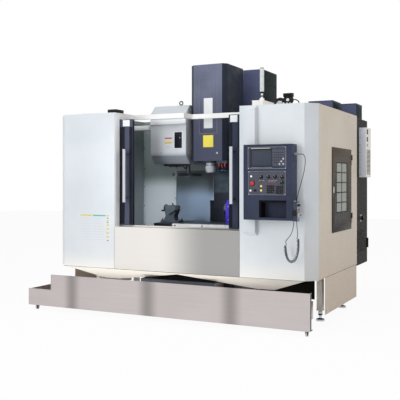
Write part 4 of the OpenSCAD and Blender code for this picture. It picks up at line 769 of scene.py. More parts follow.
def key_tree() -> NodeTree:
    """Build the tree for square caps with a sloped edge: keys, ribs, pads."""
    tree = NodeTree("square_caps")
    width, length = tree.take("Width", "Float"), tree.take("Length", "Float")
    height, top = tree.take("Height", "Float"), tree.take("Top", "Float")
    material = tree.take("Material", "Material")
    size = tree.add("ShaderNodeCombineXYZ", X=width, Y=length, Z=height)
    cube = tree.add("GeometryNodeMeshCube", Size=size.outputs[0])
    normal = tree.add("GeometryNodeInputNormal")
    split = tree.add("ShaderNodeSeparateXYZ", Vector=normal.outputs[0])
    upper = summed(tree.group, "GREATER_THAN", split.outputs["Z"], UPWARD)
    rise = tree.add("GeometryNodeExtrudeMesh", Mesh=cube.outputs["Mesh"], Selection=upper,
                    Offset_Scale=summed(tree.group, "MULTIPLY", height, KEY_RISE))
    slope = tree.add("GeometryNodeScaleElements", Geometry=rise.outputs["Mesh"],
                     Selection=rise.outputs["Top"], Scale=top)
    tree.end(tree.place(slope.outputs[0]), material)
    return tree


def slat_tree() -> NodeTree:
    """Build the tree for a row of tilted slats from a start point."""
    tree = NodeTree("slat_row")
    count, step = tree.take("Count", "Int"), tree.take("Step", "Vector")
    size, tilt = tree.take("Size", "Vector"), tree.take("Tilt", "Vector")
    material = tree.take("Material", "Material")
    line = tree.add("GeometryNodeMeshLine", Count=count, Offset=step)
    slat = tree.add("GeometryNodeMeshCube", Size=size)
    turn = tree.add("FunctionNodeEulerToRotation", Euler=tilt)
    row = tree.add("GeometryNodeInstanceOnPoints", Points=line.outputs[0], Instance=slat.outputs["Mesh"],
                   Rotation=turn.outputs[0])
    rows = tree.add("GeometryNodeInstanceOnPoints", Points=tree.entry.outputs["Geometry"],
                    Instance=row.outputs[0])
    tree.end(rows.outputs[0], material)
    return tree


def thread_tree() -> NodeTree:
    """Build the tree for a thread that winds round an axis."""
    tree = NodeTree("wound_thread")
    radius, length = tree.take("Radius", "Float"), tree.take("Length", "Float")
    turns, wire = tree.take("Turns", "Float"), tree.take("Wire", "Float")
    material = tree.take("Material", "Material")
    coil = tree.add("GeometryNodeCurveSpiral", Resolution=THREAD_STEPS, Rotations=turns, Start_Radius=radius,
                    End_Radius=radius, Height=length)
    ring = tree.add("GeometryNodeCurvePrimitiveCircle", Resolution=WIRE_SIDES, Radius=wire)
    body = tree.add("GeometryNodeCurveToMesh", Curve=coil.outputs[0], Profile_Curve=ring.outputs[0],
                    Fill_Caps=True)
    tree.end(tree.place(body.outputs[0]), material)
    return tree


class Trees:
    """The four Geometry Nodes trees, built once."""

    def __init__(self) -> None:
        self.studs, self.keys = stud_tree(), key_tree()
        self.slats, self.threads = slat_tree(), thread_tree()

    def screws(self, name: str, body: str, spots: Sequence[Spot], radius: float, finish: Finish,
               height: float, sides: int = 12, socket: float = 0.55, sunk: float = -0.6) -> bpy.types.Object:
        """Set round heads on spots.

        Args:
            name: the piece's name.
            body: the body that it rides on.
            spots: where the heads sit and which way they look.
            radius: their radius in millimetres.
            finish: their finish.
            height: their height in millimetres.
            sides: the sides of a full turn.
            socket: the socket's share of the top.
            sunk: how far the socket rises, as a share of the height.

        Returns:
            The piece's object.
        """
        return self.studs.grow(name, body, finish, spots, Radius=radius * MM, Height=height * MM,
                               Socket=socket, Sides=sides, Sunk=sunk)

    def caps(self, name: str, body: str, finish: Finish, spots: Sequence[Spot], width: float, length: float,
             height: float, top: float = 0.82) -> bpy.types.Object:
        """Set square caps on spots, with sizes in millimetres."""
        return self.keys.grow(name, body, finish, spots, Width=width * MM, Length=length * MM,
                              Height=height * MM, Top=top)

    def row(self, name: str, body: str, finish: Finish, starts: Sequence[Point], count: int, step: Point,
            size: Point, tilt: Point = (0, 0, 0)) -> bpy.types.Object:
        """Set a row of slats at each start, with sizes in millimetres and the tilt in degrees."""
        return self.slats.grow(name, body, finish, [(p, UP) for p in starts], Count=count,
                               Step=tuple(v * MM for v in step), Size=tuple(v * MM for v in size),
                               Tilt=tuple(math.radians(v) for v in tilt))

    def thread(self, name: str, body: str, finish: Finish, start: Point, axis: Point, radius: float,
               length: float, pitch: float, wire: float) -> bpy.types.Object:
        """Wind a thread from a start point along an axis, with sizes in millimetres."""
        return self.threads.grow(name, body, finish, [(start, axis)], Radius=radius * MM, Length=length * MM,
                                 Turns=length / pitch, Wire=wire * MM)


def grid(first: Point, across: Point, down: Point, columns: int, rows: int, facing: Point) -> list[Spot]:
    """List the spots of a regular field.

    Args:
        first: the first spot.
        across: step from one column to the next.
        down: step from one row to the next.
        columns: number of columns.
        rows: number of rows.
        facing: the direction of every spot.

    Returns:
        The spots, row by row.
    """
    return [(tuple(first[k] + across[k] * i + down[k] * j for k in range(3)), facing)
            for j in range(rows) for i in range(columns)]


def around(centre: Point, radius: float, angles: Sequence[float], facing: Point,
           axes: tuple[int, int] = (0, 1)) -> list[Spot]:
    """List the spots of a circle.

    Args:
        centre: its centre.
        radius: its radius.
        angles: the spots' angles in degrees.
        facing: the direction of every spot.
        axes: the axis on which 0 degrees lies, then that of 90 degrees.

    Returns:
        The spots, in the order of their angles.
    """
    spots: list[Spot] = []
    for angle in angles:
        place = list(centre)
        place[axes[0]] += radius * math.cos(math.radians(angle))
        place[axes[1]] += radius * math.sin(math.radians(angle))
        spots.append((tuple(place), facing))
    return spots


def softened(node: str, body: str, finish: Finish, width: float, second: Finish | None = None,
             zone: tuple[Point, Point] | None = None) -> bpy.types.Object:
    """Stand in for a CAD node with a copy of it whose edges are rounded.

    Args:
        node: the CAD node's name.
        body: the body that it rides on.
        finish: its finish.
        width: the rounding in millimetres.
        second: the finish of the faces in the zone or, without a zone, of those that look left or right.
        zone: two corners of a box in machine millimetres.

    Returns:
        The piece's object.
    """

    # Most second finishes are lit and shaded copies of the first: painted light and shade on sideways faces
    # and in zones.
    def marked(face: bmesh.types.BMFace) -> bool:
        """Tell whether a face takes the second finish."""
        if second is None:
            return False
        if zone is None:
            return abs(face.normal.x) > SIDE_FACING
        low, high = at(*zone[0]), at(*zone[1])
        return all(a <= v <= b for a, v, b in zip(low, face.calc_center_median(), high))

    copy = bmesh.new()
    copy.from_mesh(frame["nodes"][node].data)
    bmesh.ops.remove_doubles(copy, verts=copy.verts, dist=MERGE_GAP)
    bmesh.ops.dissolve_limit(copy, angle_limit=FLAT_ANGLE, verts=copy.verts, edges=copy.edges)
    mesh = bpy.data.meshes.new(node + "_soft")
    copy.to_mesh(mesh)
    copy.free()
    seed = linked(node + "_seed", mesh)
    bevel = seed.modifiers.new("edges", "BEVEL")
    bevel.width, bevel.segments, bevel.limit_method = width * MM, BEVEL_STEPS, "ANGLE"
    bevel.angle_limit, bevel.use_clamp_overlap = BEVEL_ANGLE, True
    result = applied(seed, node + "_soft")
    result.materials.clear()
    for paint in (finish, second):
        if paint:
            result.materials.append(paint.material())
    edges = bmesh.new()
    edges.from_mesh(result)
    for face in edges.faces:
        face.smooth = True
        face.material_index = int(marked(face))
    crease(edges)
    edges.to_mesh(result)
    edges.free()
    return shown(node + "_soft", result, body, (node,))


@dataclass(frozen=True)
class Lamp:
    """A soft lamp: an area or, with a cone, a spot.

    Args:
        name: the lamp's name.
        place: where it hangs, in metres.
        size: its size in metres.
        watts: its power.
        colour: its light.
        cone: a spot's full angle in degrees, or 0 for an area.
        wide: an area's width in metres where it isn't its size.
        aim: the place that it looks at, in metres.
        blend: the soft share of a spot's edge.
    """

    name: str
    place: Point
    size: float
    watts: float
    colour: Colour
    cone: float = 0.0
    wide: float = 0.0
    aim: Point = (0.0, 0.0, 1.25)
    blend: float = 0.5

    def hang(self) -> None:
        """Hang the lamp, unseen by the camera and in reflections."""
        data = bpy.data.lights.new(self.name, "SPOT" if self.cone else "AREA")
        data.energy, data.color = self.watts, self.colour
        if self.cone:
            data.shadow_soft_size, data.spot_blend = self.size, self.blend
            data.spot_size = math.radians(self.cone)
        else:
            data.shape, data.size, data.size_y = "RECTANGLE", self.wide or self.size, self.size
        lamp = linked(self.name, data)
        lamp.location = self.place
        lamp.rotation_euler = (Vector(self.aim) - Vector(self.place)).to_track_quat("-Z", "Y").to_euler()
        lamp.visible_camera = lamp.visible_glossy = False


LAMPS: tuple[Lamp, ...] = (
    Lamp("key", (-2.6, -9.5, 4.0), 4.0, 205.0, (0.98, 0.99, 1.0)),
    Lamp("low", (-0.6, -9.0, 0.9), 1.6, 105.0, (1.0, 0.99, 0.97)),
    Lamp("side", (9.0, -3.0, 4.0), 4.0, 220.0, (1.0, 0.96, 0.92)),
    Lamp("top", (0.0, -2.5, 8.5), 5.0, 180.0, (1.0, 1.0, 1.0)),
    Lamp("inner", (-0.3, -6.0, 2.9), 0.5, 760.0, (0.94, 0.97, 1.0), 13.0),
    Lamp("under", (-0.05, -1.19, 0.27), 0.08, 4.4, (1.0, 0.99, 0.97), wide=3.0),
    Lamp("wall", (-0.5, -0.85, 1.3), 0.2, 24.0, (1.0, 1.0, 0.98), 46.0, aim=(-0.78, 0.48, 1.1)),
)


@dataclass
class Studio:
    """Camera, soft light and the pale floor."""

    place: Point = (3.695, -7.65015, 1.49)
    turn: float = 26.5
    lens: float = 63.2
    sensor: float = 36.0
    shift: float = -0.0485
    reach: float = 200.0
    fill: float = 0.46
    fill_tone: Colour = (0.96, 0.98, 1.0)
    floor: float = 40.0
    floor_tone: Colour = (0.86, 0.86, 0.86)
    floor_rough: float = 0.9
    floor_white: float = 0.94

    def camera(self) -> None:
        """Stand the camera at the photograph's viewing angle."""
        data = bpy.data.cameras.new("view")
        data.lens, data.sensor_width, data.sensor_fit = self.lens, self.sensor, "HORIZONTAL"
        data.shift_y, data.clip_end = self.shift, self.reach
        view = linked("view", data)
        view.location = self.place
        view.rotation_euler = (math.radians(90), 0.0, math.radians(self.turn))
        bpy.context.scene.camera = view

    @staticmethod
    def seen(tree: bpy.types.NodeTree) -> bpy.types.NodeSocket:
        """Make a value that is 1 for camera, glossy and transmission rays."""
        path = tree.nodes.new("ShaderNodeLightPath")
        total = path.outputs["Is Camera Ray"]
        for name in ("Is Glossy Ray", "Is Transmission Ray"):
            total = summed(tree, "MAXIMUM", total, path.outputs[name])
        return total

    @staticmethod
    def mix(tree: bpy.types.NodeTree, share: bpy.types.NodeSocket, plain: bpy.types.Node,
            bright: bpy.types.Node, end: str) -> None:
        """Mix two shaders by a share and lead them to the tree's end."""
        node = tree.nodes.new("ShaderNodeMixShader")
        for value, socket in zip((share, plain.outputs[0], bright.outputs[0]), node.inputs):
            tree.links.new(value, socket)
        tree.links.new(node.outputs[0], tree.nodes[end].inputs["Surface"])

    def world(self) -> None:
        """Fill the room with even light, white where it is seen."""
        world = bpy.data.worlds.new("room")
        world.use_nodes = True
        bpy.context.scene.world = world
        tree = world.node_tree
        fill, white = tree.nodes["Background"], tree.nodes.new("ShaderNodeBackground")
        fill.inputs["Color"].default_value = (*self.fill_tone, 1.0)
        fill.inputs["Strength"].default_value = self.fill
        white.inputs["Color"].default_value = (1.0, 1.0, 1.0, 1.0)
        self.mix(tree, self.seen(tree), fill, white, "World Output")

    def ground(self) -> None:
        """Lay the pale floor, which keeps a soft shadow."""
        mesh = bpy.data.meshes.new("floor")
        half = self.floor / 2
        corners = [(-half, -half, 0), (half, -half, 0), (half, half, 0), (-half, half, 0)]
        mesh.from_pydata(corners, [], [(0, 1, 2, 3)])
        floor = linked("floor", mesh)
        material = bpy.data.materials.new("pale_floor")
        material.use_nodes = True
        tree = material.node_tree
        plain, glow = tree.nodes["Principled BSDF"], tree.nodes.new("ShaderNodeEmission")
        plain.inputs["Base Color"].default_value = (*self.floor_tone, 1.0)
        plain.inputs["Roughness"].default_value = self.floor_rough
        plain.inputs["Specular IOR Level"].default_value = 0.0
        share = summed(tree, "MULTIPLY", self.seen(tree), self.floor_white)
        self.mix(tree, share, plain, glow, "Material Output")
        mesh.materials.append(material)

    def build(self) -> None:
        """Set up camera, lamps, room and floor."""
        bpy.context.scene.view_settings.view_transform = "Standard"
        self.camera()
        for lamp in LAMPS:
            lamp.hang()
        self.world()
        self.ground()


@dataclass
class PendantCord:
    """Lead, curly part and second lead of the hand pendant's cord."""

    diameter: float = 6.5
    coil_radius: float = 11.25
    pitch: float = 13.0
    turn_points: int = 14
    lead_steps: int = 6
    coil_steps: int = 24
    step: float = 4.0
    upper: tuple[Point, ...] = (
        (1450, -110, 1747), (1476, -110, 1740), (1491, -110, 1714), (1494, -109, 1680), (1488, -106, 1620),
        (1472, -101, 1545), (1451, -95, 1480), (1431, -89, 1419), (1411, -82, 1350), (1400, -78, 1300),
        (1394, -76, 1240), (1393, -76, 1180), (1395, -79, 1120), (1402, -88, 1060), (1412, -99, 1000),
        (1419, -108, 945))
    coil: tuple[Point, ...] = (
        (1419, -108, 945), (1424, -110, 890), (1422, -110, 830), (1411, -110, 770), (1388, -110, 722),
        (1354, -110, 702), (1322, -110, 722), (1302, -110, 770), (1293, -110, 825), (1291, -110, 876))
    lower: tuple[Point, ...] = (
        (1291, -110, 876), (1299, -112, 900), (1320, -118, 925), (1350, -125, 960), (1374, -132, 1010),
        (1386, -138, 1060), (1390, -140, 1098))

    @staticmethod
    def smooth(points: Sequence[Point], steps: int) -> list[Vector]:
        """Run a smooth line through points, with a number of steps between two of them."""
        spots = [Vector(p) for p in points]
        line: list[Vector] = []
        for i in range(len(spots) - 1):
            before, start = spots[max(i - 1, 0)], spots[i]
            end, after = spots[i + 1], spots[min(i + 2, len(spots) - 1)]
            for k in range(steps):
                t = k / steps
                bend = (2 * before - 5 * start + 4 * end - after) * t * t
                twist = (3 * start - before - 3 * end + after) * t ** 3
                line.append(0.5 * (2 * start + (end - before) * t + bend + twist))
        return line + [spots[-1]]

    def curl(self) -> list[Vector]:
        """Wind the curly part round its own line at one radius, with the pitch opening out at both ends."""
        line = self.smooth(self.coil, self.coil_steps)
        lengths = [0.0]
        for a, b in zip(line, line[1:]):
            lengths.append(lengths[-1] + (b - a).length)
        total = lengths[-1]
        count = int(total / self.pitch * self.turn_points)
        spots: list[Vector] = []
        side, k, angle = Vector((0.0, -1.0, 0.0)), 0, 0.0
        for i in range(count + 1):
            far = total * i / count
            while k + 2 < len(lengths) and lengths[k + 1] < far:
                k += 1
            share = (far - lengths[k]) / (lengths[k + 1] - lengths[k])
            ahead = (line[k + 1] - line[k]).normalized()
            side = (side - ahead * side.dot(ahead)).normalized()
            ease = min(1.0, min(far, total - far) / (3 * self.coil_radius))
            angle += 2 * math.pi / self.turn_points * ease * ease * (3 - 2 * ease)
            outward = side * math.cos(angle) + ahead.cross(side) * math.sin(angle)
            spots.append(line[k].lerp(line[k + 1], share) + outward * self.coil_radius)
        return spots

    @staticmethod
    def even(spots: Sequence[Vector], step: float) -> list[Vector]:
        """Set points at even distances along a line and ease its corners once."""
        line, left = [spots[0]], step
        for a, b in zip(spots, spots[1:]):
            way, done = b - a, 0.0
            while way.length - done >= left:
                done += left
                line.append(a + way.normalized() * done)
                left = step
            left -= way.length - done
        eased = [(a + 2 * b + c) / 4 for a, b, c in zip(line, line[1:], line[2:])]
        return [line[0], *eased, spots[-1]]

    def build(self) -> bpy.types.Object:
        curl = self.curl()
        first = self.smooth((*self.upper[:-1], curl[0]), self.lead_steps)
        last = self.smooth((curl[-1], *self.lower[1:]), self.lead_steps)
        spots = self.even(first + curl[1:-1] + last, self.step)
        data = bpy.data.curves.new("pendant_cord", "CURVE")
        data.dimensions, data.bevel_depth, data.bevel_resolution = "3D", self.diameter / 2 * MM, 2
        data.use_fill_caps = True
        spline = data.splines.new("POLY")
        spline.points.add(len(spots) - 1)
        for point, spot in zip(spline.points, spots):
            point.co = (*at(*spot), 1.0)
        data.materials.append(RUBBER.material())
        cord = linked("pendant_cord", data)
        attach(cord, "frame")
        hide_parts("cord_upper", "cord_coil", "cord_lower")
        return cord


@dataclass
class Enclosure:
    """Outer panels, roof and the inner splash walls."""

    trees: Trees
    half: float = 1557.0
    depth: float = 1650.0
    low: float = 504.0
    top: float = 2253.0

    def chart(self) -> None:
        """Round the front panels and print the left one's plain chart of bars, faint rules and marks."""
        # The left panel's return face into the opening, in the zone, takes the brightened copy of its white:
        # painted light.
        softened("left_front_panel", "frame", WHITE, 1.5, WHITE_PAINTED_LIGHT, ((-775, 3, 500), (-745, 112, 2260)))
        # The right panel's faces that look left or right take the darker copy of its white: painted shade.
        softened("right_front_panel", "frame", WHITE, 1.5, WHITE_SIDE_SHADE)
        chart = Workpiece("chart_bars", "frame", GOLD)
        chart.film((-1222, 1088), (-1066, 1103)).film((-872, 1090), (-830, 1100))
        for z in (1030, 985, 940, 895, 850):
            chart.film((-868, z), (-832, z + 13))
        chart.paint(TEAL).film((-1048, 1088), (-878, 1103))
        chart.paint(JET)
        for z in (1062, 1014, 812):
            chart.film((-858, z), (-840, z + 9))
        chart.make()
        self.trees.row("chart_rules", "frame", LINE, [(-1152, -0.1, 1062), (-972, -0.1, 1062)], 9,
                       (0, 0, -30), (138, 0.8, 2.4))

    def roof(self) -> None:
        """Cap the small roof box, seal the sill's joints, paint shadow lines, set leg posts and a shade
        plate.
        """
        cap = Workpiece("roof_box_cap", "frame", BLACK)
        cap.box((-884, 46, 2256), (-766, 204, 2294), 5.0).box((-862, 70, 2293), (-790, 180, 2297), 1.5)
        cap.make()
        seams = Workpiece("sill_seams_and_shadow_lines", "frame", SEAL)
        for x in (-760, 760):
            seams.box((x - 1.2, -0.5, self.low), (x + 1.2, 1.0, 978), 0.3)
        # Dark lines along the side and front panels' lower edges: painted shadow under their lips.
        seams.paint(BROWN)
        for side in (-1, 1):
            left, right = span(side, self.half - 1, self.half + 0.3)
            seams.box((left, 350, self.low - 2.5), (right, 1628, self.low + 1.5), 0.3)
        seams.box((-1448, -0.6, self.low - 2.5), (1448, 3, self.low + 1.0), 0.3)
        seams.make()
        # Leg posts in the brightened white: painted light on their shaded faces.
        posts = Workpiece("leg_posts", "frame", UNDER_PAINTED_LIGHT)
        for side in (-1, 1):
            x = side * LEG_X
            for y in LEG_ROWS:
                posts.box((x - 31.8, y - 31.8, 111), (x + 31.8, y + 31.8, self.low - 3.5), 2.5)
                posts.box((x - 36, y - 36, 111), (x + 36, y + 36, 117), 2.0)
        posts.make()
        # A dark plate behind the right leg posts, where the space under the machine lies in shade: painted
        # shade.
        underside_shade = Workpiece("underside_shade_plate", "frame", BROWN)
        underside_shade.box((700, 748, 205), (1322, 752, self.low - 4), 1.2)
        underside_shade.box((700, 738, 205), (1322, 752, 215), 1.2)
        underside_shade.make()

    def fasteners(self) -> None:
        """Screw the side panels, the roof and the closing plate down."""
        spots: list[Spot] = []
        for side, way in ((-1, LEFT), (1, RIGHT)):
            x = side * self.half
            spots += grid((x, 190, 530), (0, 284, 0), (0, 0, 1696), 6, 2, way)
            spots += grid((x, 152, 800), (0, 1476, 0), (0, 0, 400), 2, 4, way)
            spots += grid((x, 400, 160), (0, 400, 0), (0, 0, 300), 4, 2, way)
        spots += grid((-1530, self.depth, 560), (200, 0, 0), (0, 0, 330), 2, 6, BACK)
        spots += grid((800, 150, self.top), (240, 0, 0), (0, 720, 0), 4, 3, UP)
        self.trees.screws("panel_screws", "frame", spots, 6.0, WARM_SHADE_WHITE, 2.6)

    def interior(self) -> None:
        """Lap the rear wall's seams, strip its corners, lay thin liners of painted shade on the rear and left
        walls, and hang the work lamp.
        """
        softened("splash_walls", "frame", GREY, 0.4, PLATE, ((-310, 1500, 600), (310, 1522, 1150)))
        laps = Workpiece("wall_laps", "frame", GREY)
        laps.box((-1299, 1524, 640), (-1272, 1530, 2235), 1.5)
        laps.box((1272, 1524, 640), (1299, 1530, 2235), 1.5)
        for x in (-820, 560):
            laps.box((x, 1526.5, 640), (x + 22, 1530.2, 2150), 1.0)
        # A thin liner on the rear wall's right part: a panel in its own tone, and painted shade darker
        # towards the top.
        shaded_panel = [(-793, 640), (-310, 640), (-310, 1150), (-264, 1150), (-264, 1620), (-793, 1620)]
        laps.paint(WALL_PANEL_TONE_AND_SHADE).prism(shaded_panel, 1529.2, 1.0, 0.3)
        laps.paint(SHADE).box((-1300.2, 200, 660), (-1298.8, 1523, 2235), 0.3)
        laps.paint(SEAL)
        for x in (-798, 555):
            laps.box((x, 1527, 640), (x + 5, 1530.2, 2150), 0.8)
        laps.make()
        spots = [((x, 1524, z), FRONT) for x in (-1287, 1287) for z in (900, 1155, 1408, 1654, 1918, 2170)]
        spots += [((x, 1526.5, z), FRONT) for x in (-809, 571) for z in (760, 1010, 1260, 1510, 1760, 2010)]
        spots += [((-1300, y, z), RIGHT) for y in (260, 560, 860, 1160, 1440) for z in (760, 2190)]
        spots += [((1300, y, z), LEFT) for y in (260, 560, 860, 1160, 1440) for z in (760, 2190)]
        self.trees.screws("wall_screws", "frame", spots, 6.5, BLACK, 3.0)
        lamp = Workpiece("work_lamp", "frame", BEAM_WHITE)
        lamp.box((-1300, 960, 2122), (-880, 1060, 2178), 6.0)
        lamp.box((-1300, 950, 2100), (-1290, 1070, 2200), 3.0)
        lamp.paint(LENS).box((-1270, 975, 2116), (-900, 1045, 2123), 2.5)
        lamp.paint(STEEL)
        for x in (-1250, -920):
            lamp.turned((x, 1010, 2178), UP, [(0, 9), (4, 9), (5, 7), (5, 0)], 12)
        lamp.make()

    def back(self) -> None:
        """Stiffen the rear of the splash wall with folded ribs."""
        self.trees.row("rear_ribs", "frame", GREY, [(-1150, 1541, 1400), (450, 1541, 1400)], 3, (260, 0, 0),
                       (40, 16, 1500))
        hook = Workpiece("beam_brackets", "frame", BEAM_WHITE)
        hook.box((-775, 414, 2196), (-755, 440, 2252), 2.0).box((740, 611, 2196), (762, 640, 2252), 2.0)
        hook.make()

    def build(self) -> None:
        """Make every piece of the enclosure."""
        for step in (self.chart, self.roof, self.fasteners, self.interior, self.back):
            step()


@dataclass
class Doors:
    """Both sliding doors: seals, gaskets, plain plates and handle feet."""

    trees: Trees
    lead: float = 590.0
    trail: float = 1415.0
    front: float = 110.0
    low: float = 985.0
    top: float = 2180.0
    stile: float = 105.0
    cross: float = 130.0
    handle: float = 652.0

    def one(self, side: int, body: str) -> None:
        """Dress one door.

        Args:
            side: -1 for the left door, 1 for the right one.
            body: the door's body.
        """
        softened(body, body, NODE_FINISHES[body], 2.0)
        seal = Workpiece(body + "_seals", body, SEAL)
        stile = self.lead + self.stile
        left, right = span(side, self.lead - 1.6, self.lead + 2)
        seal.box((left, 118, 992), (right, 142, self.top - 4), 0.7)
        left, right = span(side, stile, self.trail - self.stile)
        seal.rim((left, 120, self.low + self.cross), (right, 139, self.top - self.cross), 7.0, 2.0)
        left, right = span(side, self.lead + 1, self.lead + 42)
        seal.box((left, 107.4, 1000), (right, 111, 2094), 1.5)
        # A wide dark strip beside the window's leading side: a gasket, and painted shadow under the front
        # panel's return where the door stands open.
        left, right = span(side, stile, stile + 80)
        seal.box((left, 107.4, 1000), (right, 138, 2094), 1.5)
        seal.make()
        plate = Workpiece(body + "_plate", body, BLANK)
        left, right = (-719, -629) if side < 0 else (607, 689)
        plate.box((left, 108.6, 2101), (right, 110.3, 2173), 0.5)
        plate.make()
        feet = Workpiece(body + "_handle_feet", body, NODE_FINISHES[body])
        x = side * self.handle
        foot = [(0, 15), (2.5, 15), (3.6, 13), (4.2, 10.5), (69, 10.5), (69, 9.9)]
        for z in (1300, 1790):
            feet.turned((x, self.front, z), FRONT, foot, 24)
        feet.paint(BRIGHT)
        for z in (1250, 1840):
            feet.box((x - 18.4, 20.6, z - 1.5), (x + 18.4, 39.4, z + 1.5), 1.4)
        feet.make()
        spots = [((side * x, self.front, z), FRONT) for x in (self.lead + 30, self.trail - 30)
                 for z in (1030, 1400, 1580, 2060) if not (z > 2050 and x < 700)]
        self.trees.screws(body + "_screws", body, spots, 5.0, BLACK, 2.0)

    def build(self) -> None:
        """Dress both doors."""
        self.one(-1, "left_door")
        self.one(1, "right_door")


@dataclass
class Console:
    """Control box with display, keys, knobs and buttons, and the hand pendant."""

    trees: Trees
    face: float = -172.0
    knobs: tuple[tuple[float, float], ...] = ((1142, 1528), (1211, 1528), (1282, 1523), (1280, 1471))
    feed: tuple[float, float] = (1066, 1525)
    stop: tuple[float, float] = (975, 1463)
    dial: tuple[float, float] = (-127.5, 1158)

    def display(self) -> None:
        """Frame the display and set its glass and soft keys."""
        softened("control_box", "frame", DOOR_NAVY, 4.0)
        trim = Workpiece("console_trim", "frame", BEZEL)
        trim.rim((924, self.face - 2.2, 1604), (1323, self.face + 0.5, 1819), 5.0, 0.8)
        trim.rim((928, self.face - 1.2, 1349), (1319, self.face + 0.5, 1584), 3.0, 0.5)
        trim.rim((1184, self.face - 1.0, 1636), (1312, self.face + 0.3, 1796), 2.0, 0.4)
        trim.paint(JET).rim((953, self.face - 1.8, 1627), (1182, self.face + 0.5, 1798), 7.0, 1.2)
        trim.paint(LCD).box((959, self.face + 2.5, 1633), (1176, self.face + 6.2, 1792), 0.6)
        trim.paint(BAR).box((958, self.face - 0.6, 1804), (1160, self.face + 0.3, 1809), 0.2)
        # Near-black sheets on the pocket's left and upper walls: painted shade that makes the pocket look
        # deeper.
        trim.paint(HOLLOW_SHADE).box((1041, -168, 1128), (1056, -37, 1296), 3.0)
        trim.box((1041, -160, 1276), (1323, -37, 1296), 3.0)
        trim.make()
        corners = [((x, self.face - 2.0, z), FRONT) for x in (931, 1316) for z in (1611, 1812)]
        corners += [((x, self.face - 0.4, z), FRONT) for x in (936, 1311) for z in (1357, 1576)]
        self.trees.screws("console_screws", "frame", corners, 4.6, BRIGHT, 1.8)
        spots = grid((968, self.face - 0.6, 1618), (18.4, 0, 0), (0, 0, 1), 12, 1, FRONT)
        self.trees.caps("soft_keys", "frame", BEZEL, spots, 12, 7, 2.4)

    def keys(self) -> None:
        """Cap the key fields of the display and of the operator panel."""
        spots = grid((1196, self.face - 0.4, 1651.5), (19.5, 0, 0), (0, 0, 25), 6, 6, FRONT)
        pale = [spots[i] for i in (5, 10, 17, 3)]
        self.trees.caps("alpha_keys", "frame", KEYCAP, [s for s in spots if s not in pale], 14.5, 17, 4.0)
        self.trees.caps("pale_keys", "frame", PALE_KEY, pale, 14.5, 17, 4.2)
        left = grid((1132, self.face - 3.4, 1376), (20, 0, 0), (0, 0, 20), 4, 4, FRONT)
        right = grid((1226, self.face - 3.4, 1370), (20, 0, 0), (0, 0, 20), 4, 4, FRONT)
        self.trees.caps("panel_keys", "frame", JET, left + right, 15, 15, 3.0)
        lamps = [((p[0] - 5, p[1] - 2.4, p[2] + 5), FRONT) for p, _ in left + right]
        self.trees.screws("key_lamps", "frame", lamps[::3], 1.5, PALE_KEY, 0.6, 8)
        self.trees.screws("key_lamps_red", "frame", lamps[12:16], 1.6, SCARLET, 0.8, 8)

    def knob(self, piece: Workpiece, x: float, z: float, gap: float = 0.0) -> None:
        """Turn a knob with a skirt, a pointer and a pale index line."""
        base = self.face - gap
        cap = [(0, 19), (2, 19), (3.2, 17.0), (15.5, 16.2), (18.2, 15), (19.4, 12), (19.4, 0)]
        piece.paint(JET).turned((x, base, z), FRONT, cap, 26)
        piece.box((x - 3, base - 21.6, z - 13), (x + 3, base - 18, z + 14), 1.2)
        piece.paint(BLANK).box((x - 0.9, base - 22.0, z + 2), (x + 0.9, base - 21, z + 13), 0.2)

    def controls(self) -> None:
        """Set the fixed knobs, buttons, key switch and plain marks of the operator panel."""
        panel = Workpiece("panel_controls", "frame", JET)
        for x, z in self.knobs:
            self.knob(panel, x, z)
        button = [(0, 12.5), (2.5, 12.5), (3.5, 11), (3.5, 9.4), (6.5, 9.2), (7.6, 7.5), (7.8, 0)]
        cap = [(0, 9.3), (4.6, 9.3), (6, 7.6), (6.2, 0)]
        for (x, z), finish in zip(((961, 1532), (954, 1392), (1066, 1436), (1066, 1393)),
                                  (LIT_WHITE, LIT_WHITE, LIT_AMBER, LIT_AMBER)):
            panel.paint(BEZEL).turned((x, self.face, z), FRONT, button[:3] + [(3.5, 9.2)], 20)
            panel.paint(finish).turned((x, self.face - 2, z), FRONT, cap, 20)
        panel.paint(JET).turned((999, self.face, 1393), FRONT, button, 20)
        panel.box((997.6, self.face - 22, 1384), (1000.4, self.face - 7, 1402), 0.8)
        panel.turned((1011, self.face, 1393), FRONT, [(0, 7), (5, 7), (6, 5), (6, 0)], 14)
        x, z = self.stop
        panel.turned((x, self.face, z), FRONT, [(0, 25), (2, 25), (3, 23), (3, 11)], 32)
        panel.paint(SCARLET)
        for x in (1140, 1166, 1192):
            panel.film((x, 1474), (x + 17, 1479), self.face, 0.5)
        panel.paint(LINE)
        for x in (1040, 1074, 1140, 1172, 1204):
            panel.film((x, 1488), (x + 24, 1490.5), self.face, 0.5)
        panel.make()
        ticks: list[Spot] = []
        for x, z in (*self.knobs, self.feed):
            ticks += around((x, self.face, z), 24, range(-120, 121, 30), FRONT, (2, 0))
        self.trees.screws("knob_ticks", "frame", ticks, 1.0, BLANK, 0.4, 6)
        stop = Workpiece("stop_button", "estop_button", RED)
        x, z = self.stop
        dome = [(0, 16.5), (0.8, 18.6), (3.5, 20), (7, 19.2), (9.8, 16.4), (11.5, 11), (12, 5), (12, 0)]
        stop.turned((x, -179, z), FRONT, dome, 32)
        stop.paint(STEEL).turned((x, -145.2, z), FRONT, [(0, 9.9), (34, 9.9)], 20)
        stop.make("estop_button")
        knob = Workpiece("override_knob", "feed_knob", JET)
        self.knob(knob, *self.feed, 0.3)
        knob.paint(STEEL).turned((self.feed[0], -142, self.feed[1]), FRONT, [(0, 4.9), (31, 4.9)], 14)
        knob.make("feed_knob")

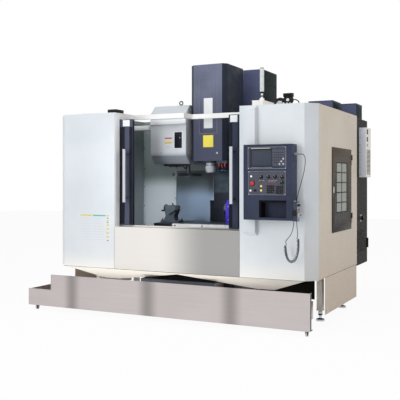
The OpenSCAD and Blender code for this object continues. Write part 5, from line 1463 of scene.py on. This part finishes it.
    def pendant(self) -> None:
        """Round the pendant, and set its knobs, face plate, dial and hanger."""
        softened("pendant", "frame", PANEL, 5.0)
        unit = Workpiece("pendant_controls", "frame", BEZEL)
        unit.box((1429, -160, 1106), (1430.6, -95, 1279), 0.6)
        unit.paint(JET)
        cap = [(0, 13), (1.5, 13), (2.5, 12), (11, 11.2), (12.6, 9), (12.8, 0)]
        for y in (-145, -110):
            unit.turned((1430, y, 1252), RIGHT, cap, 20)
            unit.box((1441, y - 1.5, 1246), (1444.4, y + 1.5, 1262), 0.7)
        unit.box((1384, -172, 1150), (1424, -164, 1205), 3.0)
        unit.paint(RED).turned((1430, -127.5, 1211), RIGHT, [(0, 9), (1, 9.4), (4, 9), (6, 6), (6.4, 0)], 18)
        unit.paint(BLANK)
        for y in (-156, -112):
            unit.box((1430, y, 1226), (1430.9, y + 14, 1229), 0.2)
        unit.paint(STEEL).box((1384, -150, 1284), (1404, -105, 1296), 2.0)
        unit.make()
        y, z = self.dial
        dial = Workpiece("pulse_dial", "pendant_dial", STEEL)
        wheel = [(0, 26.5), (1.2, 28), (7.5, 28), (9.5, 26.6), (10.4, 23.5), (10.8, 9), (12.6, 8), (12.8, 0)]
        crank = [(0, 4.4), (2, 5), (10, 5.6), (12.4, 4.4), (12.8, 0)]
        dial.turned((1430.7, y, z), RIGHT, wheel, 40)
        dial.paint(JET).turned((1441, y + 16.8, z), RIGHT, crank, 16)
        dial.paint(STEEL).turned((1412.3, y, z), RIGHT, [(0, 5.9), (20, 5.9)], 16)
        dial.make("pendant_dial")
        marks = around((1440.9, y, z), 24.6, range(0, 360, 9), RIGHT, (1, 2))
        self.trees.screws("dial_marks", "pendant_dial", marks, 0.8, BLANK, 0.4, 6)
        plug = (1404.5, -110, 1747)
        ridges = [(spot, (Vector(spot) - Vector(plug)).normalized())
                  for spot, _ in around(plug, 12.4, range(0, 360, 20), RIGHT, (1, 2))]
        self.trees.caps("plug_knurl", "frame", STEEL, ridges, 18, 2.0, 1.6, 0.7)

    def build(self) -> None:
        """Make every piece of the console."""
        for step in (self.display, self.keys, self.controls, self.pendant):
            step()


@dataclass
class Head:
    """Head cover, spindle nose, coolant nozzles and the hood behind."""

    trees: Trees
    face: float = 780.0
    side: float = 253.0
    spindle_y: float = 900.0
    nose: float = 1586.0
    link: float = 11.0

    def cover(self) -> None:
        """Dress the head's cover with its inset frame, plain plates, lock and screws."""
        # The cover's faces that look left or right take the dark copy of its paint: painted shade.
        softened("head_cover", "head", NAVY, 1.4, NAVY_SIDE_SHADE)
        inset = Workpiece("cover_inset", "head", NAVY)
        # The inset frame's rim in a lighter grey than the cover: painted highlight along its raised edge.
        inset.paint(BEZEL).rim((-92, self.face - 2.2, 2040), (142, self.face + 0.4, 2694), 4.0, 1.0)
        inset.paint(NAVY).box((-82, self.face - 1.0, 2050), (132, self.face + 0.4, 2684), 0.6)
        inset.make()
        plates = Workpiece("cover_plates", "head", BLANK)
        plates.box((-29, self.face - 2.4, 2101), (84, self.face - 0.6, 2454), 0.5)
        plates.paint(YELLOW).box((-38, self.face - 1.4, 1881), (92, self.face + 0.3, 2020), 0.5)
        lock = [(0, 12), (1.8, 12), (3, 10.4), (3.4, 8), (5.6, 7.6), (6.4, 5), (6.4, 0)]
        plates.paint(BRIGHT).turned((141, self.face, 1811), FRONT, lock, 24)
        # A near-black slot in the lock: painted shade.
        plates.paint(HOLLOW_SHADE).box((139.4, self.face - 6.8, 1806), (142.6, self.face - 6, 1816), 0.3)
        plates.make()
        spots = grid((self.side, 850, 1780), (0, 400, 0), (0, 0, 254), 2, 5, RIGHT)
        spots += grid((-213, 850, 1780), (0, 400, 0), (0, 0, 254), 2, 5, LEFT)
        spots += [((x, y, 2849), UP) for x in (-150, 190) for y in (850, 1240)]
        self.trees.screws("cover_screws", "head", spots, 5.5, BLACK, 2.4)

    def nozzles(self) -> None:
        """Hang the coolant block below the cover, with its valves and short hoses of ball links."""
        block = Workpiece("coolant_block", "head", BLACK)
        block.box((98, 905, 1612), (246, 1010, 1722), 5.0).box((112, 880, 1664), (238, 906, 1716), 4.0)
        block.paint(STEEL)
        for x in (120, 172, 224):
            block.turned((x, 958, 1612), DOWN, [(0, 10), (5, 10), (6, 8), (6, 0)], 6)
        block.make()
        links: list[Spot] = []
        valves = Workpiece("nozzle_valves", "head", ORANGE)
        jet = [(-6, 7), (0, 8), (5, 8.4), (20, 4.4), (22, 3.6), (22, 0)]
        for x, lean, count in ((130, -0.22, 6), (170, 0.10, 5), (210, -0.14, 6)):
            start, way = Vector((x, 860, 1680)), Vector((lean, 0.12, -1.0)).normalized()
            links += [(start + way * self.link * k, way) for k in range(count)]
            valves.paint(BLUE).turned(start + way * self.link * count, way, jet, 14)
        for x, z, tilt in ((133, 1690, 5), (168, 1668, 12), (212, 1684, -6)):
            valves.paint(JET).turned((x, 872, z), FRONT, [(0, 11), (22, 11), (24, 9), (24, 0)], 16)
            lever = [(x - 5, z + 7), (x + 5, z + 7), (x + 5 + tilt, z - 26), (x - 5 + tilt, z - 26)]
            valves.paint(ORANGE).prism(lever, 842, 7, 1.6)
        valves.make()
        self.trees.screws("nozzle_links", "head", links, 9.4, JET, 10.8, 12, 0.7, 0.05)

    def nose_ring(self) -> None:
        """Set rings, drive keys and bolts on the spindle's nose."""
        nose = Workpiece("spindle_rings", "spindle", NOSE)
        y, z = self.spindle_y, self.nose
        for steps, ring in (
                (48, [(0.4, 40), (0.4, 47), (14, 56.5), (18, 57.5), (76, 57.5), (80, 55.5), (82, 49)]),
                (48, [(44, 57), (45, 58.6), (58, 58.6), (59, 57)]),
                (40, [(92, 47), (92, 50.4), (94, 52), (108, 52), (110, 50), (110, 47)])):
            nose.turned((0, y, z), UP, ring, steps)
        for x in (-34, 34):
            nose.box((x - 9, y - 8, z - 5), (x + 9, y + 8, z + 1), 1.2)
        nose.make()
        spots = around((0, y, z), 39, range(30, 360, 60), DOWN)
        self.trees.screws("nose_bolts", "spindle", spots, 4.0, BLACK, 2.0)
        spots = around((0, y, 1700), 66, range(0, 360, 45), DOWN)
        self.trees.screws("ring_bolts", "head", spots, 5.0, BLACK, 4.0)

    def hood(self) -> None:
        """Round the hood, seam it and vent its back."""
        # The hood's faces that look left or right take the dark copy of its paint: painted shade.
        softened("column_hood", "frame", HOOD_NAVY, 1.4, HOOD_SHADE_AND_SEAMS)
        seams = Workpiece("hood_seams", "frame", HOOD_SHADE_AND_SEAMS)
        seams.box((438, 1452, 2520), (441.5, 1958, 2540), 1.2)
        seams.box((-441.5, 1452, 2520), (-438, 1958, 2540), 1.2)
        seams.box((-438, 1958, 2520), (438, 1962, 2540), 1.2)
        seams.make()
        self.trees.row("hood_vents", "frame", HOOD_NAVY, [(-200, 1961.5, 2610), (200, 1961.5, 2610)], 9,
                       (0, 0, 20), (240, 7, 12), (-28, 0, 0))
        spots = grid((440, 1500, 2250), (0, 205, 0), (0, 0, 285), 3, 3, RIGHT)
        spots += grid((-440, 1500, 2250), (0, 205, 0), (0, 0, 285), 3, 3, LEFT)
        spots += grid((-390, 1960, 2250), (260, 0, 0), (0, 0, 560), 4, 2, BACK)
        self.trees.screws("hood_screws", "frame", spots, 5.5, BLACK, 2.4)

    def build(self) -> None:
        """Make every piece of the head."""
        for step in (self.cover, self.nozzles, self.nose_ring, self.hood):
            step()


@dataclass
class Changer:
    """Tool magazine's cover with its window, and the changer arm."""

    trees: Trees
    face: float = 750.0
    left: float = -730.0
    right: float = -250.0

    def cover(self) -> None:
        """Glaze and frame the window, set plain bars, screws and the lifting eye's ring."""
        softened("magazine_cover", "frame", PALE, 1.2)
        window = Workpiece("magazine_window", "frame", SMOKED)
        window.box((-412, self.face + 3.2, 1870), (-297, self.face + 7, 2073), 0.6)
        window.paint(BLANK).rim((-413, self.face - 2.0, 1869), (-296, self.face + 3.4, 2074), 7.0, 0.8)
        window.paint(BEZEL).turned((-335, self.face + 3.2, 2000), FRONT, [(0, 8), (2, 8), (3, 6), (3, 0)], 16)
        window.make()
        bars = Workpiece("magazine_bars", "frame", SCARLET)
        bars.film((-536, 1990), (-440, 2005), self.face)
        bars.paint(GOLD).film((-536, 1930), (-442, 1956), self.face)
        bars.paint(LINE).film((-524, 1886), (-458, 1906), self.face)
        # A near-white strip along the cover's upper lip: painted light.
        bars.paint(WHITE_PAINTED_LIGHT).box((self.left - 0.5, self.face - 13, 2163),
                               (self.right + 0.5, self.face - 11, 2219), 0.8)
        bars.make()
        ring = [spot for spot, _ in around((-403, 920, 2428), 22, range(0, 361, 15), UP, (0, 2))]
        eye = Workpiece("lifting_eye", "frame", BLACK)
        eye.tube(ring, 6.6, 10)
        eye.turned((-403, 920, 2392), UP, [(0, 17), (6, 17), (8, 13), (13, 12.4), (13, 0)], 20)
        eye.make()
        spots = [((x, self.face, z), FRONT) for x, z in ((-584, 1825), (-700, 2260), (-280, 2260))]
        spots += grid((self.right, 880, 1840), (0, 170, 0), (0, 0, 240), 3, 3, RIGHT)
        spots += grid((self.left, 880, 1840), (0, 170, 0), (0, 0, 240), 3, 3, LEFT)
        self.trees.screws("magazine_screws", "frame", spots, 5.0, BLACK, 2.2)

    def guide(self) -> None:
        """Hang the toothed pot guide and its hook below the cover."""
        guide = Workpiece("pot_guide", "frame", BLACK)
        guide.box((-600, 848, 1666), (-262, 856, 1693), 1.2)
        hook = [(-352, 1670), (-336, 1670), (-313, 1642), (-288, 1670), (-272, 1670), (-304, 1630),
                (-322, 1630)]
        guide.prism(hook, 847, 10, 1.2)
        guide.make()
        teeth = grid((-520, 852, 1664), (26, 0, 0), (0, 0, 1), 7, 1, DOWN)
        self.trees.caps("pot_teeth", "frame", BLACK, teeth, 17, 8, 12)

    def arm(self) -> None:
        """Bolt the changer arm's hub and set its gripper pads."""
        centre = (-300, 900, 1545)
        spots = around(centre, 44, range(0, 360, 60), DOWN)
        self.trees.screws("arm_bolts", "changer_arm", spots, 5.0, STEEL, 3.0)
        hub = Workpiece("arm_hub", "changer_arm", STEEL)
        hub.turned(centre, DOWN, [(0, 30), (3, 30), (6, 26), (6, 0)], 28)
        for y in (710, 1090):
            hub.box((-318, y - 34, 1580), (-282, y + 34, 1583.6), 1.2)
        hub.make()

    def build(self) -> None:
        """Make every piece of the changer."""
        for step in (self.cover, self.guide, self.arm):
            step()


@dataclass
class Worktable:
    """Table with its strip, tailstock and rotary table."""

    trees: Trees
    top: float = 990.0
    axis_y: float = 800.0
    axis_z: float = 1159.0

    def table(self) -> None:
        """Round the table's edges and bolt its front strip."""
        softened("table", "table", IRON, 0.8)
        spots = [((x, 588, 968), FRONT) for x in (-310, 41, 401)]
        self.trees.screws("strip_bolts", "table", spots, 9.0, JET, 1.4)

    def tailstock(self) -> None:
        """Dress the tailstock with a barrel, clamp lever, base bolts and caps."""
        softened("tailstock", "table", CASTING, 3.0)
        y, z = self.axis_y, self.axis_z
        body = Workpiece("tailstock_barrel", "table", CASTING)
        barrel = [(0, 15), (0, 30), (4, 34), (40, 35), (44, 37), (106, 37), (110, 35), (141, 34), (148, 30),
                  (148, 21)]
        body.turned((-536, y, z), RIGHT, barrel, 36)
        body.paint(JET).turned((-450, y, z + 33), UP, [(0, 12), (6, 12), (10, 9), (16, 8), (17, 0)], 18)
        body.tube([(-450, y, z + 44), (-438, y - 26, z + 49), (-424, y - 58, z + 55)], 4.5, 8)
        body.turned((-423, y - 62, z + 56), (0.3, -0.9, 0.15), [(-9, 0), (-7, 6), (0, 9), (7, 6), (9, 0)], 14)
        body.tube([(-392, y - 58, 1128), (-430, y - 64, 1106), (-474, y - 70, 1080)], 6.5, 8)
        body.turned((-392, y - 50, 1128), FRONT, [(0, 13), (12, 13), (15, 9), (15, 0)], 16)
        nuts = grid((-572, y - 42, 1018), (0, 84, 0), (216, 0, 0), 2, 2, UP)
        body.paint(STEEL)
        bolt = [(0, 14), (4, 14), (4, 6), (26, 6), (27, 4), (27, 0)]
        for (bolt_x, bolt_y, _), _ in nuts:
            body.turned((bolt_x, bolt_y, 1014), UP, bolt, 14)
        body.make()
        self.trees.screws("tailstock_nuts", "table", nuts, 12.0, BLACK, 12.0, 6, 0.5, 0.02)
        wheel = Workpiece("tailstock_wheel", "handwheel", JET)
        rim = [(0, 34), (0, 43), (3, 46), (10, 47), (17, 46), (20, 43), (20, 34), (14, 32), (6, 32)]
        grip = [(0, 0), (0, 7), (3, 9.6), (24, 10.4), (44, 8.4), (50, 6), (56, 6), (56, 0)]
        wheel.turned((-556.3, y, z), RIGHT, rim, 36)
        wheel.turned((-556.3, y, z), RIGHT, [(4, 0), (4, 34), (16, 34), (16, 0)], 30)
        wheel.turned((-562, y, z), RIGHT, [(0, 0), (0, 12), (2, 15), (40, 13.9), (47, 13.9), (47, 0)], 24)
        wheel.turned((-609.3, y, z - 31), RIGHT, grip, 18)
        wheel.make("handwheel")
        centre = Workpiece("live_centre", "quill", STEEL)
        point = [(0, 0), (0, 19.96), (113, 19.96), (115, 18), (115, 15), (124, 15), (126, 13), (158, 1.0),
                 (158, 0)]
        centre.turned((-474, y, z), RIGHT, point, 32)
        centre.paint(JET).turned((-367, y, z), RIGHT, [(0, 19), (0, 24), (4, 25), (10, 24), (12, 20)], 30)
        centre.make("quill")

    def rotary(self) -> None:
        """Dress the rotary table with plates, a servo, bolts and its faceplate with jaws."""
        softened("rotary_table", "table", VIOLET, 6.0)
        y, z = self.axis_y, self.axis_z
        body = Workpiece("rotary_details", "table", VIOLET)
        body.box((318, 676, 1030), (514, 681, 1210), 4.0).box((318, 919, 1030), (514, 926, 1210), 4.0)
        body.paint(BLACK).box((340, 926, 1024), (492, 1010, 1150), 6.0)
        body.box((352, 1010, 1036), (480, 1052, 1138), 8.0)
        body.turned((416, 960, 1150), UP, [(0, 22), (8, 22), (10, 17), (26, 16), (28, 0)], 20)
        body.paint(STEEL).turned((576, y, z), RIGHT, [(-1, 52), (2, 52), (4, 48), (4, 0)], 32)
        body.paint(CASTING)
        for side in (-1, 1):
            body.box((330, y + side * 132 - 16, self.top), (500, y + side * 132 + 16, self.top + 22), 4.0)
        body.make()
        spots = [((x, 676, height), FRONT) for x in (332, 500) for height in (1044, 1196)]
        spots += around((578, y, z), 40, range(0, 360, 60), RIGHT, (1, 2))
        spots += [((x, y + side * 136, self.top + 22), UP) for x in (350, 480) for side in (-1, 1)]
        self.trees.screws("rotary_screws", "table", spots, 7.0, STEEL, 5.0)
        plate = Workpiece("faceplate_rings", "faceplate", IRON)
        plate.turned((249.7, y, z), LEFT, [(-3, 16.4), (-3, 26), (1.2, 26), (2, 25), (2, 16.4)], 32)
        plate.turned((252, y, z), RIGHT, [(0, 72), (1, 75.4), (8, 75.4), (10, 74)], 48)
        plate.turned((276, y, z), RIGHT, [(0, 74), (2, 75.6), (12, 75.6), (14, 74)], 48)
        for spot, way in around((249.7, y, z), 52, range(45, 360, 90), LEFT, (1, 2)):
            plate.turned(spot, way, [(-1, 9), (3, 9), (4, 7), (4, 0)], 14)
        plate.make()

    def build(self) -> None:
        """Make every piece on the table."""
        for step in (self.table, self.tailstock, self.rotary):
            step()


@dataclass
class Tank:
    """Coolant tank: hems, strainer holes and castor tyres."""

    trees: Trees
    front: float = -200.0
    top: float = 420.0

    def build(self) -> None:
        """Make every piece of the tank."""
        hem = Workpiece("tank_hems", "coolant_tank", TANK)
        hem.box((-1486, self.front - 2.6, self.top - 7), (1571, self.front + 5, self.top + 1), 2.6)
        hem.box((-1811, self.front - 2.6, 239), (-1485, self.front + 5, 246), 2.4)
        hem.box((-1811, self.front - 1.6, 57.5), (1571, self.front + 3, 63), 1.4)
        hem.box((1566, self.front - 1, 58), (1571.4, self.front + 41, 421), 1.4)
        hem.box((-1489, self.front - 2.4, 240), (-1482, self.front + 4, 420), 1.6)
        # A dark sheet on the tank's right end: painted shade.
        hem.paint(JET).box((1570.2, self.front + 3, 60), (1572, self.front + 40, 418), 0.6)
        hem.paint(IRON).box((-453, 57, 404), (453, 64, 413), 2.0)
        hem.box((-451, 58, 300), (451, 60.4, 404), 0.8)
        for x in (-453, 446):
            hem.box((x, 64, 404), (x + 7, 291, 413), 2.0)
        hem.make()
        # Strainer holes drawn as flat near-black discs: painted shade.
        holes = grid((-420, 85, 355.2), (24, 0, 0), (0, 24, 0), 36, 8, UP)
        self.trees.screws("strainer_holes", "coolant_tank", holes, 6.0, HOLLOW_SHADE, 0.5, 8, 0.5, 0.0)
        tyres = Workpiece("castor_tyres", "coolant_tank", RUBBER)
        tyre = [(0, 18), (0, 22.5), (1.8, 24.95), (17.4, 24.95), (19.2, 22.5), (19.2, 18)]
        for x, y in ((-1730, -140), (-1730, 220), (-1200, 380), (1200, 380), (1520, -140)):
            tyres.paint(RUBBER).turned((x - 9.6, y, 25), RIGHT, tyre, 28)
            tyres.paint(STEEL)
            for start in (x - 16.5, x + 12.5):
                tyres.turned((start, y, 25), RIGHT, [(0, 0), (0, 8), (4, 8), (4, 0)], 6)
            tyres.paint(JET)
            for side in (-1, 1):
                left, right = span(side, 9.7, 15.5)
                tyres.box((x + left, y - 8.5, 16.6), (x + right, y + 8.5, 55.8), 0.6)
        tyres.make()
        spots = grid((-1440, self.front, 80), (480, 0, 0), (0, 0, 1), 7, 1, FRONT)
        self.trees.screws("tank_rivets", "coolant_tank", spots, 4.0, TANK, 1.2, 10)


@dataclass
class Rear:
    """Cabinet with its cooler and switch, side door, tower light, air unit and levelling feet."""

    trees: Trees
    right: float = 1530.0
    back: float = 2287.3
    cooler: float = 1620.0
    stem: tuple[float, float] = (876.0, 330.0)

    def cabinet(self) -> None:
        """Vent, screw and handle the cabinet, and plate its switch."""
        softened("cabinet_door", "cabinet_door", BROWN, 2.0)
        self.trees.row("door_louvres", "cabinet_door", BROWN,
                       [(1050, self.back, 640), (1050, self.back, 1820)], 12, (0, 0, 24), (420, 9, 13),
                       (-30, 0, 0))
        grip = Workpiece("cabinet_grip", "cabinet_door", BRIGHT)
        grip.box((613, self.back + 12, 1296), (637, self.back + 14.6, 1444), 1.2)
        grip.paint(JET).turned((625, self.back + 12, 1370), BACK, [(0, 9), (2.5, 9), (3.2, 7), (3.2, 0)], 18)
        grip.make()
        spots = grid((600, self.back, 500), (450, 0, 0), (0, 0, 1710), 3, 2, BACK)
        self.trees.screws("cabinet_door_screws", "cabinet_door", spots, 6.0, BLACK, 2.4)
        self.trees.row("side_louvres", "frame", BROWN, [(self.right + 1, 1950, 620)], 12, (0, 0, 24),
                       (9, 380, 13), (0, 30, 0))
        plate = Workpiece("switch_plate", "frame", BEZEL)
        plate.box((self.right - 0.4, 1915, 991), (self.right + 0.2, 1999, 1075), 0.2)
        for x, y, w, d, top in ((950, 1700, 300, 370, 2460), (1314, 1840, 186, 290, 2424)):
            plate.paint(HOOD_NAVY).box((x - 1, y - 1, 2241), (x + w + 1, y + d + 1, top + 0.6), 1.5)
            plate.box((x - 3, y - 3, top - 12), (x + w + 3, y + d + 3, top + 2), 2.0)
            plate.box((x - 2, y - 2, 2240), (x + w + 2, y + d + 2, 2252), 2.0)
            # A thin dark sheet on each roof box's right face: painted shade.
            plate.paint(HOOD_SHADE_AND_SEAMS).box((x + w, y + 1, 2253), (x + w + 2, y + d - 1, top - 13), 0.6)
        plate.make()
        handle = Workpiece("switch_grip", "main_switch", JET)
        rose = [(0, 26), (1.5, 28.6), (11, 28.2), (13.6, 25), (13.6, 0)]
        handle.turned((self.right + 0.5, 1957, 1033), RIGHT, rose, 32)
        handle.box((self.right + 8, 1949, 1007), (self.right + 37, 1965, 1059), 5.0)
        handle.paint(BLANK).box((self.right + 36.6, 1955.5, 1042), (self.right + 37.4, 1958.5, 1056), 0.2)
        handle.paint(STEEL).turned((self.right - 20, 1957, 1033), RIGHT,
                                   [(0, 0), (0, 7.9), (22, 7.9), (22, 0)], 16)
        handle.make("main_switch")

    def cooling(self) -> None:
        """Round the cooler, fill its sockets and slat its grille."""
        # The cooler's front takes the brightened paint, its faces that look left or right the warm copy:
        # painted light.
        softened("air_conditioner", "frame", COOLER_FRONT_LIGHT, 5.0, COOLER_SIDE_WARM_LIGHT)
        unit = Workpiece("cooler_details", "frame", HOLLOW_SHADE)
        # Near-black sockets in the cooler's side: painted shade in the hollows.
        for z in (1960, 2050):
            unit.paint(HOLLOW_SHADE).box((self.cooler - 5.6, 1887, z + 2), (self.cooler - 1.5, 1953, z + 58), 2.0)
            unit.paint(JET).box((self.cooler - 2, 1904, z + 18), (self.cooler + 1, 1936, z + 44), 2.0)
        unit.paint(BEZEL).box((self.cooler - 0.5, 1890, 1900), (self.cooler + 1.2, 1950, 1936), 0.6)
        # A near-black sheet behind the grille slats: painted shade.
        unit.paint(HOLLOW_SHADE).box((self.cooler - 0.6, 1880, 1565), (self.cooler + 0.3, 2066, 1865), 0.2)
        unit.make()
        # Grille slats in the warm copy of the cooler's paint: painted warm light.
        self.trees.row("cooler_slats", "frame", COOLER_SIDE_WARM_LIGHT, [(self.cooler + 1, 1973, 1574)], 19,
                       (0, 0, 15.6), (5, 184, 7), (0, 24, 0))
        spots = grid((1546, 1855, 1560), (58, 0, 0), (0, 0, 90), 1, 7, FRONT)
        spots += grid((self.cooler, 1868, 1545), (0, 209, 0), (0, 0, 570), 2, 2, RIGHT)
        self.trees.screws("cooler_screws", "frame", spots, 4.5, STEEL, 2.0)

    def side_door(self) -> None:
        """Bar and gasket the side door's window and set its latch."""
        softened("side_door", "side_door", OLIVE, 1.0)
        bars = Workpiece("side_bars", "side_door", OLIVE)
        for k in range(1, 5):
            z = 1146 + 539 * k / 5
            bars.box((1561.4, 740, z - 6.6), (1565.8, 1170, z + 6.6), 1.4)
        bars.box((1561.4, 948.4, 1146), (1565.8, 961.6, 1685), 1.4)
        bars.paint(SEAL).rim((1561.4, 738, 1144), (1566.4, 1172, 1687), 10, 1.6, across=1)
        bars.paint(BRIGHT).box((1561.6, 626, 1358), (1566.8, 650, 1426), 2.2)
        bars.paint(JET).turned((1565, 644, 1300), RIGHT, [(0, 12), (1.6, 12), (2.4, 10), (2.4, 0)], 18)
        bars.make()

    def tower(self) -> None:
        """Stack the tower light's lenses and rings on its stem."""
        light = Workpiece("tower_lenses", "frame", LENS)
        x, y = self.stem
        lens = [(0, 20), (0, 22), (2, 22.6), (74, 22.6), (76, 22), (76, 20)]
        for z in (2428, 2510, 2592):
            light.paint(LENS).turned((x, y, z), UP, lens, 28)
            light.paint(PALE_KEY).turned((x, y, z + 76), UP, [(0, 20), (0, 21.6), (6, 21.6), (6, 20)], 28)
        light.paint(JET).turned((x, y, 2410), UP, [(0, 13), (0, 17), (5, 22.8), (18, 22.8), (18, 20)], 28)
        light.turned((x, y, 2374), UP, [(0, 12.4), (0, 15), (14, 15), (16, 12.4)], 24)
        light.paint(BEZEL).turned((x, y, 2674), UP, [(0, 21.6), (4, 21.8), (9, 19), (12, 10), (12.4, 0)], 28)
        light.make()
        cap = Workpiece("tower_base", "frame", BEAM_WHITE)
        cap.box((774, 297, 2328), (903, 623, 2338), 2.5)
        cap.turned((x, y, 2338), UP, [(0, 27), (4, 27), (6, 25.6), (19, 25.4), (20, 12)], 28)
        cap.make()

    def air(self) -> None:
        """Dress the air unit with bowls, caps, gauges and hoses."""
        unit = Workpiece("air_details", "frame", LENS)
        bowl = [(0, 20), (4, 30), (14, 32), (84, 32), (90, 34), (104, 34), (108, 28), (116, 24)]
        unit.turned((910, 800, 2268), UP, bowl, 28)
        unit.paint(JET).turned((910, 800, 2384), UP, [(0, 24), (4, 26), (24, 25), (28, 20), (28, 0)], 24)
        for x in (970, 1006, 1042):
            unit.paint(STEEL).turned((x, 800, 2264), UP, [(0, 10), (3, 15), (60, 16), (80, 16), (84, 12)], 20)
            unit.paint(JET).turned((x, 800, 2400), UP, [(0, 12), (2, 16.4), (16, 16.8), (20, 13)], 20)
        unit.box((956, 775, 2415), (1061, 825, 2458), 6.0).box((868, 778, 2360), (1060, 822, 2406), 5.0)
        unit.paint(BLANK).turned((1006, 778, 2383), FRONT, [(0, 17), (6, 17), (8, 15.5), (8, 0)], 22)
        right = [(1058, 800, 2383), (1090, 800, 2384), (1120, 804, 2366), (1132, 820, 2320),
                 (1134, 850, 2262)]
        left = [(872, 800, 2383), (850, 802, 2380), (838, 830, 2350), (836, 870, 2300), (836, 890, 2254)]
        unit.paint(RUBBER).tube(right, 6.0, 8).tube(left, 6.0, 8)
        unit.make()

    def feet(self) -> None:
        """Set lock nuts on the levelling feet of the leg posts."""
        nuts = Workpiece("foot_nuts", "frame", BLACK)
        for x in (-LEG_X, LEG_X):
            for y in LEG_ROWS:
                nuts.turned((x, y, 17), UP, [(0, 44), (3, 42), (9, 22), (12, 16), (12, 13)], 28)
                nuts.turned((x, y, 60), UP, [(0, 14), (0, 24), (14, 24), (14, 14)], 6)
        nuts.make()

    def build(self) -> None:
        """Make every piece behind and on the roof."""
        for step in (self.cabinet, self.cooling, self.side_door, self.tower, self.air, self.feet):
            step()


@dataclass
class Screws:
    """Threads of the three ball screws."""

    trees: Trees

    def build(self) -> None:
        """Wind the threads round the ball screws."""
        self.trees.thread("z_thread", "z_screw", STEEL, (0, 1625, 1060), UP, 19.6, 1100, 12, 1.4)
        self.trees.thread("y_thread", "y_screw", STEEL, (0, 400, 552), BACK, 19.6, 1000, 12, 1.4)
        self.trees.thread("x_thread", "x_screw", STEEL, (-840, 900, 816), RIGHT, 15.6, 1680, 12, 1.2)


def dress_nodes() -> None:
    """Give every CAD node its finish."""
    for name, node in frame["nodes"].items():
        node.data.materials.clear()
        node.data.materials.append(NODE_FINISHES[name].material())


def main() -> None:
    """Build the studio, the cord and every sub-assembly, in order."""
    logging.basicConfig(level=logging.INFO, format="%(name)s %(message)s")
    dress_nodes()
    Studio().build()
    PendantCord().build()
    trees = Trees()
    for assembly in (Enclosure, Doors, Console, Head, Changer, Worktable, Tank, Rear, Screws):
        assembly(trees).build()


if __name__ == "__main__":
    main()
